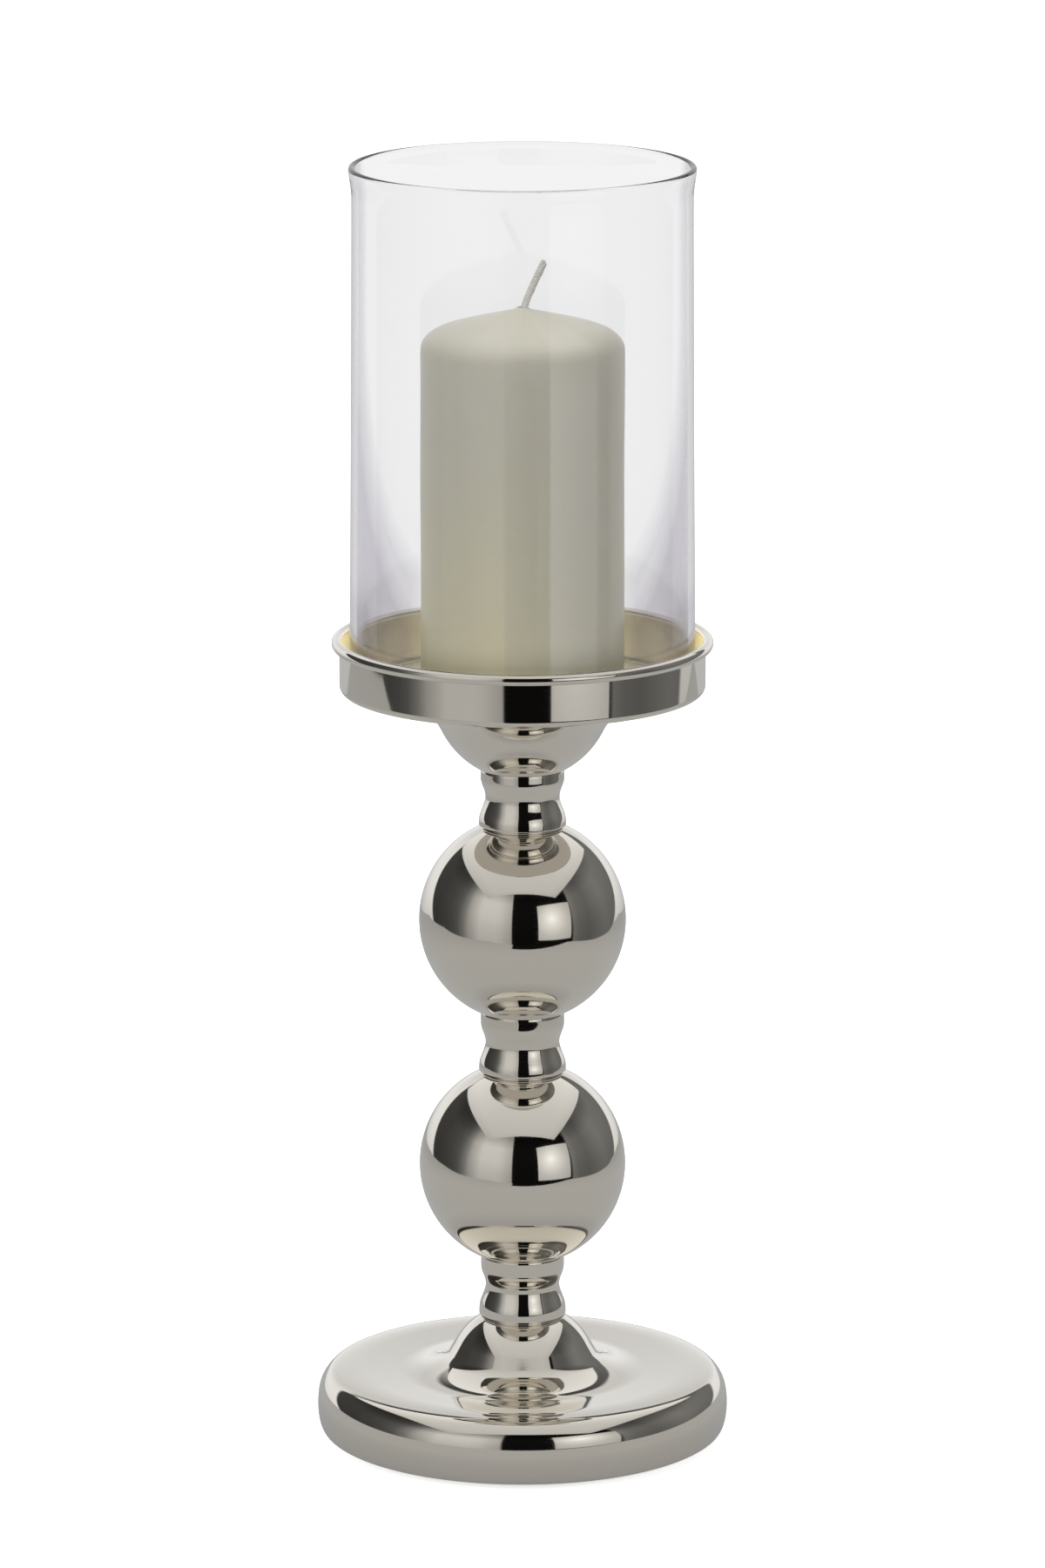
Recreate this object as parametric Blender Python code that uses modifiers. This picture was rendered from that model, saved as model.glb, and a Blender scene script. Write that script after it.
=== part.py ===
"""Hurricane candle lantern: a polished, nickel-plated turned stem of a weighted
base, three spools and two balls clamped on one tie rod, a bell-shaped cup and a
shallow rimmed tray, with an open glass cylinder and a pillar candle standing in it.

Metres, +Z up, the stem's axis is Z and the lantern rests on Z = 0.
Dimensions are in mm, and turned profiles are lists of (radius, z).
"""

from math import acos, asin, cos, degrees, pi, radians, sin, sqrt, tan

import bpy

MM = 0.001
GAP = 0.3  # clearance between neighbouring pieces

# Sides of the turned pieces
SIDES_ROD = 16
SIDES_BORE = 20
SIDES_HARDWARE = 24
SIDES_SPOOL = 32
SIDES = 40  # balls, cup, candle and the pieces inside the base
SIDES_WIDE = 48  # base shell, tray and glass

ROD_R = 2.95  # M6 tie rod
ROD_HOLE_R = 3.4

# ---- driving heights of the stack --------------------------------------------
SPOOL_H = (22.0, 21.1, 19.9)  # between the two seats, at the seat's edge, from the base up
SEAT_R = 14.0  # radius at which a spool meets the ball next to it
BALL_R = 35.0
DOME_R = 27.0
DOME_SEAT_Z = 41.5
CUP_R = 30.5
TRAY_FLOOR_Z = 260.9
TRAY_UNDER_IN_Z = 259.4  # underside of the tray over the cup

dome_z = DOME_SEAT_Z - sqrt(DOME_R**2 - SEAT_R**2)
ball_rise = sqrt(BALL_R**2 - SEAT_R**2)
spool_z = [DOME_SEAT_Z]
ball_z = []
for height in SPOOL_H[:2]:
    ball_z.append(spool_z[-1] + height + ball_rise)
    spool_z.append(ball_z[-1] + ball_rise)
cup_z = spool_z[2] + SPOOL_H[2] + sqrt(CUP_R**2 - SEAT_R**2)
cup_rim_z = TRAY_UNDER_IN_Z - GAP
rest_z = TRAY_FLOOR_Z + GAP  # the glass and the candle stand here

# ---- scene -------------------------------------------------------------------
for old in list(bpy.data.objects):
    bpy.data.objects.remove(old)

pieces = bpy.data.collections.new("hurricane_candle_lantern")
cutters = bpy.data.collections.new("cutters")
for collection in (pieces, cutters):
    bpy.context.scene.collection.children.link(collection)

# ---- finishes ----------------------------------------------------------------
NICKEL_COLOUR = (0.82, 0.79, 0.74)
STEEL_COLOUR = (0.56, 0.57, 0.58)

NICKEL = dict(colour=NICKEL_COLOUR, roughness=0.05, metallic=1.0)
TRAY_NICKEL = dict(colour=NICKEL_COLOUR, roughness=0.06, metallic=1.0)
STEEL = dict(colour=STEEL_COLOUR, roughness=0.3, metallic=1.0)
COVER_STEEL = dict(colour=STEEL_COLOUR, roughness=0.35, metallic=1.0)
NUT_STEEL = dict(colour=STEEL_COLOUR, roughness=0.28, metallic=1.0)
SPRING_STEEL = dict(colour=(0.42, 0.43, 0.45), roughness=0.35, metallic=1.0)
WEIGHT_METAL = dict(colour=(0.09, 0.09, 0.095), roughness=0.7, metallic=0.6)
FELT = dict(colour=(0.035, 0.06, 0.045), roughness=0.95, metallic=0.0)
GLASS = dict(colour=(0.95, 0.96, 0.97), roughness=0.02, metallic=0.0, transmission=1.0)
WAX = dict(colour=(0.72, 0.68, 0.55), roughness=0.45, metallic=0.0)
COTTON = dict(colour=(0.85, 0.83, 0.78), roughness=0.9, metallic=0.0)


def material(name, colour, roughness, metallic, transmission=0.0):
    finish = bpy.data.materials.new(name)
    finish.use_nodes = True
    inputs = finish.node_tree.nodes["Principled BSDF"].inputs
    inputs["Base Color"].default_value = (*colour, 1.0)
    inputs["Roughness"].default_value = roughness
    inputs["Metallic"].default_value = metallic
    inputs["Transmission Weight"].default_value = transmission
    finish.diffuse_color = (*colour, 1.0)
    finish.roughness = roughness
    finish.metallic = metallic
    return finish


def keep(obj, finish):
    """Adds a finished piece to the lantern, with a material of its own."""
    obj.data.materials.append(material(obj.name + "_finish", **finish))
    pieces.objects.link(obj)


# ---- solids ------------------------------------------------------------------


def turned(name, points, sides):
    """A profile in the XZ plane spun about Z, closed unless both its ends are on the axis.

    It runs down the outer side and back up the inner one.
    """
    count = len(points)
    edges = [(i, i + 1) for i in range(count - 1)]
    on_axis = points[0][0] == 0.0 and points[-1][0] == 0.0
    if not on_axis:
        edges.append((count - 1, 0))
    mesh = bpy.data.meshes.new(name)
    mesh.from_pydata([(r * MM, 0.0, z * MM) for r, z in points], edges, [])
    obj = bpy.data.objects.new(name, mesh)
    spin = obj.modifiers.new("spin", "SCREW")
    spin.axis = "Z"
    spin.angle = 2 * pi
    spin.steps = spin.render_steps = sides
    spin.use_merge_vertices = True
    spin.merge_threshold = 1e-6
    spin.use_smooth_shade = True
    return obj


def prism(name, radius, low, high, sides, turn=0.0):
    """An upright prism with its corners on a circle."""
    angles = [turn + 2 * pi * i / sides for i in range(sides)]
    corners = [
        (radius * cos(angle) * MM, radius * sin(angle) * MM, z * MM)
        for z in (low, high)
        for angle in angles
    ]
    faces = [list(range(sides))[::-1], list(range(sides, 2 * sides))]
    faces += [
        [i, (i + 1) % sides, sides + (i + 1) % sides, sides + i] for i in range(sides)
    ]
    mesh = bpy.data.meshes.new(name)
    mesh.from_pydata(corners, [], faces)
    return bpy.data.objects.new(name, mesh)


def boolean(obj, cutter, operation):
    """Combines a piece with a hidden helper."""
    cutters.objects.link(cutter)
    cutter.hide_render = True
    cutter.display_type = "WIRE"
    modifier = obj.modifiers.new(operation.lower(), "BOOLEAN")
    modifier.operation = operation
    modifier.solver = "EXACT"
    modifier.object = cutter


# ---- profile lines -----------------------------------------------------------


def arc(radius, centre, start, end, count):
    """Points on a circle about (centre r, centre z), angles from +r towards +z."""
    angles = [start + (end - start) * i / count for i in range(count + 1)]
    return [
        (centre[0] + radius * cos(angle), centre[1] + radius * sin(angle))
        for angle in angles
    ]


# A leaning line is a list of (r, z, lean). The lean is the angle in degrees of the
# surface's normal from straight up, and grows from the axis outwards over a crown.


def run_on(line, radius, lean, count):
    """Adds an arc that runs on from a leaning line; a negative radius makes a hollow."""
    first = line[-1][2]
    for i in range(count):
        r, z, old = line[-1]
        new = first + (lean - first) * (i + 1) / count
        r += radius * (sin(radians(new)) - sin(radians(old)))
        z += radius * (cos(radians(new)) - cos(radians(old)))
        line.append((r, z, new))


def inside(line, skin):
    """The points of a leaning line moved in by a wall's thickness."""
    return [
        (r - skin * sin(radians(lean)), z - skin * cos(radians(lean)))
        for r, z, lean in line
    ]


def crown(radius, steepest, count):
    """A bell's crown from the rod's hole to its steepest slope, about a centre at 0."""
    lean = degrees(asin(ROD_HOLE_R / radius))
    line = [(ROD_HOLE_R, sqrt(radius**2 - ROD_HOLE_R**2), lean)]
    run_on(line, radius, steepest, count)
    return line


# ---- base shell --------------------------------------------------------------
BASE_R = 70.0
BASE_WIDEST_Z = 11.1  # height of the widest line of the edge
BASE_SKIN = 1.0
BASE_MOUTH_R, BASE_MOUTH_Z = 61.0, 0.9  # opening under the base
DISH_RISE = 2.5  # degrees, the shallow dish climbs outwards to the shoulder
# The edge is a chain of arcs that run into each other, up and down from the widest
# line. Each is (radius, lean at its end, steps); the lean is 90 at the widest line.
EDGE_ABOVE = (
    (27.0, 82.0, 1),
    (14.4, 70.0, 1),
    (10.8, 45.0, 3),
    (4.75, 18.0, 3),
    (11.0, 8.5, 1),
    (33.0, 3.0, 1),
    (60.0, -DISH_RISE, 1),
)
EDGE_BELOW = ((25.0, 100.0, 1), (12.4, 110.0, 1), (4.3, 135.0, 2), (4.0, 160.0, 1))

DOME_LEAN = 58.3  # steepest slope of the dome, in degrees
DOME_STEPS = 6
DOME_CONE = 2.1  # straight part between crown and flare, in radius
DOME_FLARE_R, DOME_FLARE_LEAN = 8.0, 30.0  # hollow arc below the cone
DOME_FLARE_STEPS = 3  # of that arc, and of the one that meets the dish

dome_inner_r = DOME_R - BASE_SKIN


def edge_line(arcs):
    """The base's edge from its widest line, through a chain of arcs."""
    line = [(BASE_R, BASE_WIDEST_Z, 90.0)]
    for radius, lean, count in arcs:
        run_on(line, radius, lean, count)
    return line


def dome_line(shoulder_r, shoulder_z):
    """The dome's crown, cone and flare down to the dish that climbs to the shoulder."""
    line = [(r, dome_z + z, lean) for r, z, lean in crown(DOME_R, DOME_LEAN, DOME_STEPS)]
    r, z, lean = line[-1]
    line.append((r + DOME_CONE, z - DOME_CONE * tan(radians(DOME_LEAN)), lean))
    run_on(line, -DOME_FLARE_R, DOME_FLARE_LEAN, DOME_FLARE_STEPS)
    # The last arc has the radius that makes it meet the slope of the dish.
    r, z, lean = line[-1]
    rise, steep = radians(DISH_RISE), radians(lean)
    last_r = (z - shoulder_z + tan(rise) * (shoulder_r - r)) / (
        cos(rise) - cos(steep) + tan(rise) * (sin(rise) + sin(steep))
    )
    run_on(line, -last_r, -DISH_RISE, DOME_FLARE_STEPS)
    return line


def build_base_shell():
    above = edge_line(EDGE_ABOVE)
    below = edge_line(EDGE_BELOW)
    dome = dome_line(*above[-1][:2])
    points = [(r, z) for r, z, _ in dome + above[::-1] + below[1:]]
    points += [(BASE_MOUTH_R, BASE_MOUTH_Z), (BASE_MOUTH_R, BASE_MOUTH_Z + BASE_SKIN)]
    # The inner wall takes every second point of the edge and of the crown.
    inner = below[:0:-2] + above[::2] + dome[:DOME_STEPS:-1] + dome[DOME_STEPS:0:-2]
    points += inside(inner, BASE_SKIN)
    points.append((ROD_HOLE_R, dome_z + sqrt(dome_inner_r**2 - ROD_HOLE_R**2)))
    keep(turned("base_shell", points, SIDES_WIDE), NICKEL)


# ---- inside the base ---------------------------------------------------------
FELT_R, FELT_THICK, FELT_CHAMFER = 60.4, 1.5, 0.3
COVER_R, COVER_THICK = FELT_R - 0.2, 1.0
WEIGHT_R, WEIGHT_TOP_Z = 58.0, 16.0
WEIGHT_TOP_CHAMFER, WEIGHT_FOOT_CHAMFER = 2.0, 1.0
BOSS_R = 10.0  # top of the cone in the middle of the weight
BOSS_CLEARANCE = 1.2  # below the dome's inner wall
BOSS_FOOT_R, BOSS_FOOT_RISE = 18.0, 1.0  # foot of the cone
BOSS_TOE_R = 20.0  # the weight is flat outside this
POCKET_R, POCKET_TOP_Z = 13.0, 14.0  # holds the nut under the weight

cover_low = FELT_THICK + GAP
cover_top = cover_low + COVER_THICK


def build_weight():
    low = cover_top + GAP
    boss_top = dome_z + sqrt(dome_inner_r**2 - BOSS_R**2) - BOSS_CLEARANCE
    points = [
        (ROD_HOLE_R, boss_top),
        (BOSS_R, boss_top),
        (BOSS_FOOT_R, WEIGHT_TOP_Z + BOSS_FOOT_RISE),
        (BOSS_TOE_R, WEIGHT_TOP_Z),
        (WEIGHT_R - WEIGHT_TOP_CHAMFER, WEIGHT_TOP_Z),
        (WEIGHT_R, WEIGHT_TOP_Z - WEIGHT_TOP_CHAMFER),
        (WEIGHT_R, low + WEIGHT_FOOT_CHAMFER),
        (WEIGHT_R - WEIGHT_FOOT_CHAMFER, low),
        (POCKET_R, low),
        (POCKET_R, POCKET_TOP_Z),
        (ROD_HOLE_R, POCKET_TOP_Z),
    ]
    keep(turned("base_weight", points, SIDES), WEIGHT_METAL)


def build_cover_plate():
    points = [(0.0, cover_top), (COVER_R, cover_top), (COVER_R, cover_low), (0.0, cover_low)]
    keep(turned("base_cover_plate", points, SIDES), COVER_STEEL)


def build_felt_pad():
    points = [
        (0.0, FELT_THICK),
        (FELT_R - FELT_CHAMFER, FELT_THICK),
        (FELT_R, FELT_THICK - FELT_CHAMFER),
        (FELT_R, 0.0),
        (0.0, 0.0),
    ]
    keep(turned("felt_pad", points, SIDES), FELT)


# ---- tie rod and its hardware ------------------------------------------------
ROD_LOW_Z, ROD_HIGH_Z = 4.2, TRAY_FLOOR_Z - 0.5
ROD_CHAMFER = 0.6

WASHER_R, WASHER_H, WASHER_CHAMFER = 9.0, 1.6, 0.3
LOCK_R, LOCK_H = 5.9, 1.4
LOCK_HOLE_R = ROD_HOLE_R - 0.1
SPLIT_X = 4.7  # middle of the cut through the lock washer
SPLIT_HALF, SPLIT_WIDTH = 4.2, 0.7  # half side of the square cutter, and its thickness
SPLIT_SLANT = 62.0  # degrees
SPLIT_X_SCALE = 0.6  # narrows the cutter to one side of the ring

NUT_FLATS, NUT_H = 10.0, 5.0
NUT_BORE_R = ROD_R + GAP
NUT_BORE_OVERRUN = 2.0  # bore past each end of the nut
BLANK_OVERRUN = 1.0  # blank's flat ends past the nut's
BLANK_END_R = NUT_FLATS / 2 - 1.9
BLANK_R = NUT_FLATS / 2 + 3.0
BLANK_SLOPE = 0.577  # fall per mm of radius, about 30 degrees


def build_tie_rod():
    points = [
        (0.0, ROD_HIGH_Z),
        (ROD_R - ROD_CHAMFER, ROD_HIGH_Z),
        (ROD_R, ROD_HIGH_Z - ROD_CHAMFER),
        (ROD_R, ROD_LOW_Z + ROD_CHAMFER),
        (ROD_R - ROD_CHAMFER, ROD_LOW_Z),
        (0.0, ROD_LOW_Z),
    ]
    keep(turned("tie_rod", points, SIDES_ROD), STEEL)


def build_washer(name, low):
    top = low + WASHER_H
    points = [
        (ROD_HOLE_R, top),
        (WASHER_R - WASHER_CHAMFER, top),
        (WASHER_R, top - WASHER_CHAMFER),
        (WASHER_R, low),
        (ROD_HOLE_R, low),
    ]
    keep(turned(name, points, SIDES_HARDWARE), STEEL)


def build_lock_washer(name, low):
    """A square-section ring with a slanting split through its +X side."""
    top = low + LOCK_H
    points = [(LOCK_HOLE_R, top), (LOCK_R, top), (LOCK_R, low), (LOCK_HOLE_R, low)]
    ring = turned(name, points, SIDES_HARDWARE)
    half = SPLIT_WIDTH / 2
    split = prism(name + "_split", SPLIT_HALF * sqrt(2), -half, half, 4, turn=pi / 4)
    split.location = (SPLIT_X * MM, 0.0, (low + LOCK_H / 2) * MM)
    split.rotation_euler = (radians(SPLIT_SLANT), 0.0, 0.0)
    split.scale = (SPLIT_X_SCALE, 1.0, 1.0)
    boolean(ring, split, "DIFFERENCE")
    keep(ring, SPRING_STEEL)


def build_nut(name, low):
    """A hexagon with its corners turned off at both ends and a hole for the rod."""
    top = low + NUT_H
    nut = prism(name, NUT_FLATS / sqrt(3), low, top, 6)
    blank_low, blank_top = low - BLANK_OVERRUN, top + BLANK_OVERRUN
    fall = (BLANK_R - BLANK_END_R) * BLANK_SLOPE
    points = [
        (0.0, blank_top),
        (BLANK_END_R, blank_top),
        (BLANK_R, blank_top - fall),
        (BLANK_R, blank_low + fall),
        (BLANK_END_R, blank_low),
        (0.0, blank_low),
    ]
    boolean(nut, turned(name + "_blank", points, SIDES_HARDWARE), "INTERSECT")
    bore_low, bore_top = low - NUT_BORE_OVERRUN, top + NUT_BORE_OVERRUN
    bore = prism(name + "_bore", NUT_BORE_R, bore_low, bore_top, SIDES_BORE)
    boolean(nut, bore, "DIFFERENCE")
    keep(nut, NUT_STEEL)


def build_clamp(place, face_z, way):
    """Washer, lock washer and nut stacked off a face, upwards (way 1) or down (way -1)."""
    for kind, build, height in (
        ("washer", build_washer, WASHER_H),
        ("lock_washer", build_lock_washer, LOCK_H),
        ("nut", build_nut, NUT_H),
    ):
        near = face_z + way * GAP
        face_z = near + way * height
        build(f"{place}_{kind}", min(near, face_z))


# ---- spools and balls --------------------------------------------------------
BALL_SKIN = 1.2
SPOOL_FOOT = (0.9, 0.0, 0.0)  # how much longer each spool's lower band is
SPOOL_TOP_EDGE = 0.8  # from the upper seat's edge down to the top of the outer line
SEAT_STEPS = 2
# Outer line of a spool, (radius, height above the lower seat's edge): the band
# under the upper ball, the neck's cove, the flare and the swelling lower band.
SPOOL_LINE = (
    (14.15, 16.8), (13.95, 15.6), (13.4, 13.9), (12.85, 12.4),
    (12.6, 11.2), (12.57, 10.2), (12.8, 8.9), (13.38, 7.1),
    (14.07, 5.3), (14.58, 3.6), (14.78, 1.8), (14.5, 0.5),
)


def seat(ball, way):
    """A spool's hollow end, hole to edge, over (way 1) or under (way -1) a ball."""
    radius, z = ball
    radius += GAP
    start, end = (way * acos(r / radius) for r in (ROD_HOLE_R, SEAT_R))
    return arc(radius, (0.0, z), start, end, SEAT_STEPS)


def build_spool(name, number, below, above):
    """below and above are (radius, centre height) of the balls at the two ends."""
    low, foot = spool_z[number], SPOOL_FOOT[number]
    points = seat(above, -1)
    points.append((SPOOL_LINE[0][0], low + SPOOL_H[number] - SPOOL_TOP_EDGE))
    points += [(r, low + foot + z) for r, z in SPOOL_LINE[:-1]]
    last_r, last_z = SPOOL_LINE[-1]
    points.append((last_r, low + last_z))
    points += seat(below, 1)[::-1]
    keep(turned(name, points, SIDES_SPOOL), NICKEL)


def build_ball(name, z):
    inner_r = BALL_R - BALL_SKIN
    hole_out, hole_in = acos(ROD_HOLE_R / BALL_R), acos(ROD_HOLE_R / inner_r)
    points = arc(BALL_R, (0.0, z), hole_out, -hole_out, 12)
    points += arc(inner_r, (0.0, z), -hole_in, hole_in, 6)
    keep(turned(name, points, SIDES), NICKEL)


# ---- cup ---------------------------------------------------------------------
CUP_LEAN = 63.5  # steepest slope, where it turns hollow, in degrees
CUP_FLARE_R = 23.5
CUP_SKIN = 1.2


def cup_line(steps, skin):
    """The bell hung from the tray: a crown, then a hollow flare out to the rim."""
    line = crown(CUP_R, CUP_LEAN, steps)
    _, drop, lean = line[-1]
    # Both walls stop at the rim's height, so the inner one turns less far.
    depth = drop - skin * cos(radians(lean)) - (cup_z - cup_rim_z)
    last = degrees(acos(cos(radians(lean)) + depth / (CUP_FLARE_R + skin)))
    run_on(line, -CUP_FLARE_R, last, steps)
    return [(r, cup_z - z) for r, z in inside(line, skin)]


cup_outer = cup_line(steps=6, skin=0.0)


def build_cup():
    inner = cup_line(steps=3, skin=CUP_SKIN)
    inner[0] = (ROD_HOLE_R, cup_z - sqrt((CUP_R - CUP_SKIN) ** 2 - ROD_HOLE_R**2))
    keep(turned("cup_bowl", cup_outer[::-1] + inner, SIDES), NICKEL)


# ---- tray --------------------------------------------------------------------
TRAY_WALL_R = 61.6
TRAY_SKIN = 1.2
TRAY_CORNER_R = 2.4
TRAY_UNDER_OUT_Z = TRAY_FLOOR_Z - TRAY_SKIN
CUP_RIM_MARGIN = 0.9  # the underside is level from here, outside the cup's rim, inwards
WELL_R, WELL_FLOOR_Z = 11.0, 251.5
BEAD_Z, BEAD_TUBE_R = 276.4, 1.9

tray_inner_r = TRAY_WALL_R - TRAY_SKIN
bead_r = tray_inner_r + BEAD_TUBE_R  # flush with the wall's inner side


def build_tray():
    # The bead runs from the wall's inner side over the top to its outer side.
    meets = -(pi / 2 + asin((bead_r - TRAY_WALL_R) / BEAD_TUBE_R))
    points = arc(BEAD_TUBE_R, (bead_r, BEAD_Z), pi, meets, 6)
    corner = (TRAY_WALL_R - TRAY_CORNER_R, TRAY_UNDER_OUT_Z + TRAY_CORNER_R)
    points += arc(TRAY_CORNER_R, corner, 0.0, -pi / 2, 3)
    points += [
        (cup_outer[-1][0] + CUP_RIM_MARGIN, TRAY_UNDER_IN_Z),
        (WELL_R + TRAY_SKIN, TRAY_UNDER_IN_Z),
        (WELL_R + TRAY_SKIN, WELL_FLOOR_Z - TRAY_SKIN),
        (ROD_HOLE_R, WELL_FLOOR_Z - TRAY_SKIN),
        (ROD_HOLE_R, WELL_FLOOR_Z),
        (WELL_R, WELL_FLOOR_Z),
        (WELL_R, TRAY_FLOOR_Z),
    ]
    inner_corner_r = TRAY_CORNER_R - TRAY_SKIN
    corner = (tray_inner_r - inner_corner_r, TRAY_FLOOR_Z + inner_corner_r)
    points += arc(inner_corner_r, corner, -pi / 2, 0.0, 2)
    keep(turned("tray_dish", points, SIDES_WIDE), TRAY_NICKEL)


# ---- glass -------------------------------------------------------------------
GLASS_WALL = 2.2
GLASS_TOP_Z = 437.5
GLASS_LIP_R = 57.8
GLASS_NECK_R, GLASS_NECK_Z = 56.8, 425.0
GLASS_FOOT_R = 58.0
GLASS_FOOT_BEVEL, GLASS_FOOT_BEVEL_H = 0.5, 0.8
# Outer side from under the lip down to the foot's bevel
GLASS_SIDE = (
    (GLASS_LIP_R - 0.2, GLASS_TOP_Z - 3.5),
    (GLASS_NECK_R + 0.15, GLASS_TOP_Z - 8.0),
    (GLASS_NECK_R, GLASS_NECK_Z),
    (GLASS_FOOT_R, rest_z + GLASS_FOOT_BEVEL_H),
)


def build_glass():
    lip = GLASS_WALL / 2
    points = arc(lip, (GLASS_LIP_R - lip, GLASS_TOP_Z - lip), pi * 0.75, 0.0, 3)
    points += GLASS_SIDE
    points += [
        (GLASS_FOOT_R - GLASS_FOOT_BEVEL, rest_z),
        (GLASS_FOOT_R - GLASS_WALL + GLASS_FOOT_BEVEL, rest_z),
    ]
    points += [(r - GLASS_WALL, z) for r, z in reversed(GLASS_SIDE)]
    keep(turned("glass_cylinder", points, SIDES_WIDE), GLASS)


# ---- candle ------------------------------------------------------------------
CANDLE_R = 34.1
CANDLE_APEX_Z = 390.3  # where the conical top would reach the axis
SHOULDER_IN = (24.6, 384.0)  # the rounded shoulder's inner and outer ends
SHOULDER_OUT = (CANDLE_R, 376.6)
SHOULDER_KNEE_INSET = 1.2  # the curve's control point, in from the candle's side
SHOULDER_STEPS = 4
CANDLE_FOOT_CHAMFER = 1.2

WICK_R, WICK_HOLE_R = 1.25, 1.6
# The wick's centre line, (x, z): straight up the candle, then bending towards +X
WICK_PATH = (
    (0.0, rest_z + 1.5),
    (0.0, 330.0),
    (0.0, CANDLE_APEX_Z - 2.0),
    (0.25, CANDLE_APEX_Z + 0.8),
    (1.3, CANDLE_APEX_Z + 3.2),
    (3.4, CANDLE_APEX_Z + 7.8),
    (6.9, CANDLE_APEX_Z + 14.6),
)


def build_candle():
    slope = (CANDLE_APEX_Z - SHOULDER_IN[1]) / SHOULDER_IN[0]
    points = [(WICK_HOLE_R, CANDLE_APEX_Z - slope * WICK_HOLE_R)]
    # The shoulder is a quadratic Bezier curve that leaves along the cone.
    knee_r = CANDLE_R - SHOULDER_KNEE_INSET
    knee = (knee_r, CANDLE_APEX_Z - slope * knee_r)
    for i in range(SHOULDER_STEPS + 1):
        t = i / SHOULDER_STEPS
        points.append(
            tuple(
                (1 - t) ** 2 * start + 2 * t * (1 - t) * control + t**2 * end
                for start, control, end in zip(SHOULDER_IN, knee, SHOULDER_OUT)
            )
        )
    points += [
        (CANDLE_R, rest_z + CANDLE_FOOT_CHAMFER),
        (CANDLE_R - CANDLE_FOOT_CHAMFER, rest_z),
        (WICK_HOLE_R, rest_z),
    ]
    keep(turned("candle_wax", points, SIDES), WAX)


def build_wick():
    curve = bpy.data.curves.new("candle_wick", "CURVE")
    curve.dimensions = "3D"
    curve.resolution_u = 2
    curve.bevel_depth = WICK_R * MM
    curve.bevel_resolution = 1
    curve.use_fill_caps = True
    spline = curve.splines.new("POLY")
    spline.points.add(len(WICK_PATH) - 1)
    for point, (x, z) in zip(spline.points, WICK_PATH):
        point.co = (x * MM, 0.0, z * MM, 1.0)
    keep(bpy.data.objects.new("candle_wick", curve), COTTON)


# ---- lantern -----------------------------------------------------------------
build_base_shell()
build_weight()
build_cover_plate()
build_felt_pad()

build_tie_rod()
build_clamp("base", POCKET_TOP_Z, -1)
build_clamp("tray", WELL_FLOOR_Z, 1)

stack = ((DOME_R, dome_z), (BALL_R, ball_z[0]), (BALL_R, ball_z[1]), (CUP_R, cup_z))
for number, place in enumerate(("lower", "middle", "upper")):
    build_spool("collar_" + place, number, stack[number], stack[number + 1])
build_ball("ball_lower", ball_z[0])
build_ball("ball_upper", ball_z[1])

build_cup()
build_tray()
build_glass()
build_candle()
build_wick()
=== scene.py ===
"""A hurricane candle lantern in a plain pale studio: a polished nickel stand (base, spools,
balls, cup and tray) held by a tie rod, with a candle inside a glass cylinder on the tray.

The lantern is upright, its axis on Z and its foot near z = 0. The camera looks from -Y, so
+X is on its right. Profiles are (radius, height) in millimetres; the studio is in metres."""

import math

import bpy
import numpy as np
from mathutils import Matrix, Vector


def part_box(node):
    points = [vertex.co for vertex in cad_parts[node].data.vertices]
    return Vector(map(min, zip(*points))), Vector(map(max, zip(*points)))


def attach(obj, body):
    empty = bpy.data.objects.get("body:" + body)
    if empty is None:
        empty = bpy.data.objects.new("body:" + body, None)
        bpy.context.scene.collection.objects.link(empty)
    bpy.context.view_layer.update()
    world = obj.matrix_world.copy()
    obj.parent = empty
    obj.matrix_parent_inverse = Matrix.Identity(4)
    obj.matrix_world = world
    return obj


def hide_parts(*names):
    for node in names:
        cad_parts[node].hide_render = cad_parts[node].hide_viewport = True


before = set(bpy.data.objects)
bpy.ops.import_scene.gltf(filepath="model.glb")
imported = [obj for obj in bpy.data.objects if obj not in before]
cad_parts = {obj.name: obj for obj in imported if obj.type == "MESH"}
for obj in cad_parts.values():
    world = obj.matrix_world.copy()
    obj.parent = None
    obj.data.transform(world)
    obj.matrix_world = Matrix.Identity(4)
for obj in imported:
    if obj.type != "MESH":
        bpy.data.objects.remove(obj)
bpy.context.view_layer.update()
MM = 0.001
HOLE = 3.4  # radius of the rod's hole through the stacked pieces
ON_AXIS = 1e-9  # a radius below this lies on the axis
SAME_POINT = 1e-5


def extent(node):
    """(radius in X, lowest z, highest z) of a CAD node, in millimetres."""
    low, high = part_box(node)
    return (high.x - low.x) / 2 / MM, low.z / MM, high.z / MM


# ---------------------------------------------------------------- profiles
def arc(radius, centre, start, end, count):
    """Points on a circle, angles in degrees from +radius towards +z."""
    return [
        (centre[0] + radius * math.cos(angle), centre[1] + radius * math.sin(angle))
        for angle in np.radians(np.linspace(start, end, count + 1))
    ]


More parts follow.
